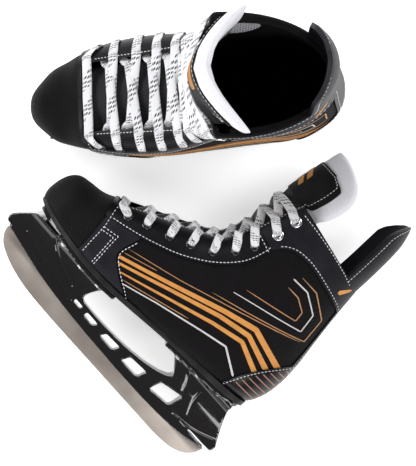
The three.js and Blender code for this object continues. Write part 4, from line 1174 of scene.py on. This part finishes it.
cloth("woven_side", (0.002, 0.0015, 0.002, 1), (0.013, 0.010, 0.013, 1), 1.9, 0.3)
cloth("fine_mesh", (0.0015, 0.0015, 0.0015, 1), (0.013, 0.012, 0.012, 1), 2.2, 0.4, 0.6)
cloth("lining_cloth", (0.003, 0.003, 0.003, 1), (0.008, 0.008, 0.009, 1), 1.8, 0.2, 0.9)

# A patch near the top of the lining is pale, with rows of small dark holes.
lining = Finish.made["lining_cloth"]
vector, x, y, z = lining.map()
dots = x.wave(4.6) * girth(x, y, z).wave(4.6)
wing = ((x + 46) * (x + 46) + (z - 238) * (z - 238) * 0.8) < 400.0
wing = wing * (z < 247)
black = lining.shader.inputs["Base Color"].links[0].from_socket
perforated = lining.mix(dots.between(0.35, 0.6), (0.75, 0.75, 0.8, 1), (0.03, 0.035, 0.07, 1))
lining.set(Base_Color=lining.mix(wing, Wire(lining, black), perforated))

# %% [markdown]
# Felt is white with a nap of short fibres, and the tongue is covered in black cloth up to the cuff.
# The lace is a flat white braid with slanting rows of dark dots.

# %% Felt, lace, thread and print
CLOTH_TO, BADGE_FOOT, BADGE_FRONT = 253, 268, -27  # cloth reaches up to here, and higher behind the badge
felt = Finish("felt_tongue", Roughness=0.9, Specular_IOR_Level=0.2, Sheen_Weight=0.25)
vector, x, y, z = felt.map()
nap, tuft = felt.noise(vector, 1.6, 5.0), felt.noise(vector, 0.2, 3.0)
white = felt.mix(nap.between(0.3, 0.75), (0.72, 0.72, 0.78, 1), (0.9, 0.9, 0.94, 1))
cloth_part = felt.mix(nap.between(0.4, 0.7), (0.008, 0.008, 0.01, 1), (0.03, 0.03, 0.034, 1))
under_badge = (z > BADGE_FOOT) + (x > BADGE_FRONT) * -1.0
bare = ((z + tuft * 2.0) > CLOTH_TO + 1.0) * (under_badge > -0.5)
felt.set(Base_Color=felt.mix(bare, cloth_part, white))
felt.bump(nap + tuft * 0.8, 0.5, 0.7)

braid = Finish("lace_braid", Roughness=0.8, Specular_IOR_Level=0.25)
vector, run, cross_run, _ = braid.map("lace_run")
slant = run + cross_run * 1.3
rows_of_dots, dots = slant.wave(19.0), slant.wave(2.7) * cross_run.wave(2.6)
dotted = rows_of_dots.between(-0.1, 0.1) * dots.between(0.12, 0.4)
rib = (run + abs(cross_run)).wave(1.3)
braid.set(Base_Color=braid.mix(dotted, (0.86, 0.86, 0.89, 1), (0.03, 0.03, 0.04, 1)))
braid.bump(rib, 0.18, 0.7)


def printed(name, dark, light, rough=0.5):
    finish = Finish(name)
    vector, x, y, z = finish.map()
    weave = x.wave(1.5) * girth(x, y, z).wave(1.5)
    tone = finish.noise(vector, 0.12)
    finish.set(Base_Color=finish.mix(tone.between(0.3, 0.7), dark, light), Roughness=tone * 0.1 + rough)
    finish.bump(weave, 0.12, 0.6)
    return finish


printed("print_orange", (0.52, 0.21, 0.035, 1), (0.62, 0.27, 0.055, 1))
printed("print_tan", (0.33, 0.16, 0.06, 1), (0.42, 0.21, 0.09, 1))
printed("print_white", (0.5, 0.49, 0.48, 1), (0.6, 0.59, 0.58, 1))
printed("print_rose", (0.26, 0.12, 0.08, 1), (0.34, 0.16, 0.11, 1))
printed("thread_white", (0.62, 0.62, 0.64, 1), (0.8, 0.8, 0.82, 1), 0.6)

# %% [markdown]
# The steel is ground along its length, so fine lines run with the edge. The holder is a glossy
# moulding with a faint ripple, and the eyelets are black enamel and polished plate.

# %% Steel, gloss and enamel
steel = Finish("ground_steel", Metallic=1.0)
vector, x, y, z = steel.map()
ground = steel.noise(vector, 1.0, 5.0, (0.05, 1.0, 3.0))
cloud = steel.noise(vector, 0.03, 3.0)
steel.set(Base_Color=steel.mix(cloud.between(0.3, 0.7), (0.27, 0.235, 0.21, 1), (0.37, 0.33, 0.30, 1)),
          Roughness=ground * 0.25 + cloud * 0.1 + 0.3)
steel.bump(ground, 0.05, 0.5)


def gloss(name, colour, rough, ripple=0.25, **constants):
    finish = Finish(name, **constants)
    vector, *_ = finish.map()
    wave, scuff = finish.noise(vector, 0.035, 2.0), finish.noise(vector, 0.5, 4.0)
    lighter = tuple(min(1, c * 1.5 + 0.002) for c in colour[:3]) + (1,)
    finish.set(Base_Color=finish.mix(scuff.between(0.55, 0.8), colour, lighter),
               Roughness=scuff.between(0.5, 0.9) * 0.12 + rough)
    finish.bump(wave + scuff * 0.02, ripple, 0.6)
    return finish


gloss("holder_gloss", (0.006, 0.005, 0.005, 1), 0.06, Coat_Weight=0.3)
gloss("black_enamel", (0.008, 0.008, 0.009, 1), 0.16, 0.02, Coat_Weight=0.6)
gloss("bright_plate", (0.72, 0.72, 0.74, 1), 0.2, 0.02, Metallic=1.0)
gloss("dull_plate", (0.2, 0.2, 0.2, 1), 0.35, 0.02, Metallic=1.0)
print("finishes", len(Finish.made))

# %% [markdown]
# Now each piece gets its finish and is set down twice: once in the left skate's place and once,
# mirrored, in the right's. A mirrored copy is turned inside out, so its faces are flipped back. The
# tongue, the guard and the guard's thread stay where they are set down, on no body; the badge rides
# on the tongue's top, and everything else rides on its skate.

# %% Set the pieces in their places
pieces.update(panels)
LOOKS = {}  # piece: finish, record slot, the CAD nodes it stands for


def looks(names, look, slot_name, nodes=None):
    """Each piece stands for the node of its own name, unless its nodes are given."""
    for name in names.split():
        LOOKS[name] = (look, slot_name, [name] if nodes is None else nodes)


looks("runner", "ground_steel", "runner_steel")
looks("holder", "holder_gloss", "holder_gloss_black")
looks("outsole", "sole_rubber", "sole_rubber")
looks("footbed", "lining_cloth", "lining_cloth")
looks("toe_cap", "fine_mesh", "woven_cloth")
looks("quarter_outer quarter_inner", "woven_side", "woven_cloth")
looks("vamp_outer vamp_inner", "charcoal_leather", "black_leather")
looks("facing_outer facing_inner", "facing_leather", "black_leather")
looks("cuff", "charcoal_leather", "black_leather")
looks("heel_counter", "counter_leather", "counter_gloss")
looks("backstay", "charcoal_leather", "black_leather")
looks("liner", "lining_cloth", "lining_cloth")
looks("tongue", "felt_tongue", "white_felt", ["tongue_lower", "tongue_upper"])
looks("tongue_badge", "badge_cloth", "black_leather")
looks("tendon_guard", "charcoal_leather", "black_leather")
looks("eyelets_outer eyelets_inner", "black_enamel", "bright_metal")
looks("top_eyelets_outer top_eyelets_inner", "bright_plate", "bright_metal", [])
looks("lace", "lace_braid", "lace_white")
looks("thread_outer thread_inner thread_guard thread_badge", "thread_white", "lace_white", [])
looks("print_orange", "print_orange", "woven_cloth", [])
looks("print_tan", "print_tan", "woven_cloth", [])
looks("print_white", "print_white", "woven_cloth", [])
looks("print_counter", "print_rose", "counter_gloss", [])
looks("badge_mark", "print_orange", "black_leather", [])
BENDS = {"tongue": ("tongue_top", (-8, 0, 236), (-8, 0, 254)),
         "tendon_guard": ("guard", (-124, 0, 238), (-124, 0, 250)),
         "thread_guard": ("guard", (-124, 0, 238), (-124, 0, 250))}
ON_TONGUE = ("tongue_badge", "thread_badge", "badge_mark")
MIRROR = Matrix.Diagonal((1, -1, 1, 1))


def flipped():
    bpy.ops.mesh.flip_normals()


def coat(piece, look):
    piece.data.materials.clear()
    piece.data.materials.append(Finish.made[look].material)


def dress(piece, look):
    """A point map in millimetres, the finish and smooth shading."""
    point_map(piece, "boot", points_of(piece))
    coat(piece, look)
    pick(piece)
    bpy.ops.object.shade_smooth_by_angle(angle=math.radians(38))


for name, (look, slot_name, stands_for) in LOOKS.items():
    dress(pieces[name], look)
    for side in ("left", "right"):
        piece = copy_of(pieces[name], f"{side}.{name}")
        piece.data.transform(PLACES[side] if side == "left" else PLACES[side] @ MIRROR)
        if side == "right":
            edit(piece, flipped)
        if name in BENDS:
            body, start, end = BENDS[name]
            place_of(side, start)
            place_of(side, end)
            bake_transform(piece)
        else:
            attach(piece, f"{side}_tongue_top" if name in ON_TONGUE else f"{side}_skate")
        if stands_for:
            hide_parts(*(f"{side}_{node}" for node in stands_for))
    bpy.data.objects.remove(pieces[name])
for tool in [*forms.values(), lacing_gap, stitch]:
    bpy.data.objects.remove(tool)

# %% [markdown]
# The bolts, rivets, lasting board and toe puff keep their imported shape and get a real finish.

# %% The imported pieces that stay
KEPT = {"runner_bolt_front": "dull_plate", "runner_bolt_rear": "dull_plate", "rivets_front": "dull_plate",
        "rivets_rear": "dull_plate", "insole_board": "board_fibre", "toe_puff": "sole_rubber"}
for side in ("left", "right"):
    for name, look in KEPT.items():
        coat(frame["nodes"][f"{side}_{name}"], look)

# %% [markdown]
# A pale floor, soft light from four large panels, and a camera straight above the pair.

# %% Floor, light and camera
FLOOR = -0.0011  # just under the lowest point of the pair
floor = started("floor", bpy.ops.mesh.primitive_plane_add, size=6, location=(0, 0, FLOOR))
paper = Finish("pale_floor", Roughness=0.7)
position = paper.node("ShaderNodeTexCoord", {}, {}, 3)
shade = paper.noise(position, 3.0)
paper.set(Base_Color=paper.mix(shade, (0.93, 0.93, 0.93, 1), (0.95, 0.95, 0.95, 1)))
paper.shader.inputs["Emission Color"].default_value = (1, 1, 1, 1)
paper.shader.inputs["Emission Strength"].default_value = 0.5
floor.data.materials.append(paper.material)

RIGHT = Vector((-0.656, -0.755, 0)).normalized()
UP = Vector((0.755, -0.656, 0)).normalized()
CAMERA_HEIGHT, CAMERA_OFFSET, LENS, SENSOR = 1.22, Vector((0.0122, -0.1702)), 92.2, 36


def lamp(name, along_right, along_up, height, size, power, aim=(0, 0, 0.1)):
    data = bpy.data.lights.new(name, "AREA")
    data.shape, data.size, data.size_y, data.energy = "RECTANGLE", size[0], size[1], power
    lamp_object = bpy.data.objects.new(name, data)
    place = RIGHT * along_right + UP * along_up + Vector((0, 0, height))
    way = (Vector(aim) - place).to_track_quat("-Z", "Y")
    lamp_object.matrix_world = Matrix.Translation(place) @ way.to_matrix().to_4x4()
    bpy.context.scene.collection.objects.link(lamp_object)


lamp("key_panel", -1.0, 1.1, 1.3, (1.3, 0.7), 24)
lamp("side_panel", 1.4, 0.4, 1.1, (0.7, 1.2), 17)
lamp("low_panel", 0.1, -1.5, 1.1, (1.5, 0.5), 17)
lamp("left_panel", -1.5, -0.3, 1.1, (0.5, 1.2), 12)
world = bpy.data.worlds.new("soft_room")
world.use_nodes = True
world.node_tree.nodes["Background"].inputs["Color"].default_value = (1, 1, 1, 1)
world.node_tree.nodes["Background"].inputs["Strength"].default_value = 0.22
bpy.context.scene.world = world
bpy.context.scene.view_settings.view_transform = "Standard"

camera_data = bpy.data.cameras.new("overhead")
camera_data.lens, camera_data.sensor_width = LENS, SENSOR
camera = bpy.data.objects.new("overhead", camera_data)
left_origin = PLACES["left"].translation
place = Vector((left_origin.x + CAMERA_OFFSET.x, left_origin.y + CAMERA_OFFSET.y, CAMERA_HEIGHT))
downwards = Matrix((RIGHT, UP, Vector((0, 0, 1)))).transposed()
camera.matrix_world = Matrix.Translation(place) @ downwards.to_4x4()
bpy.context.scene.collection.objects.link(camera)
bpy.context.scene.camera = camera
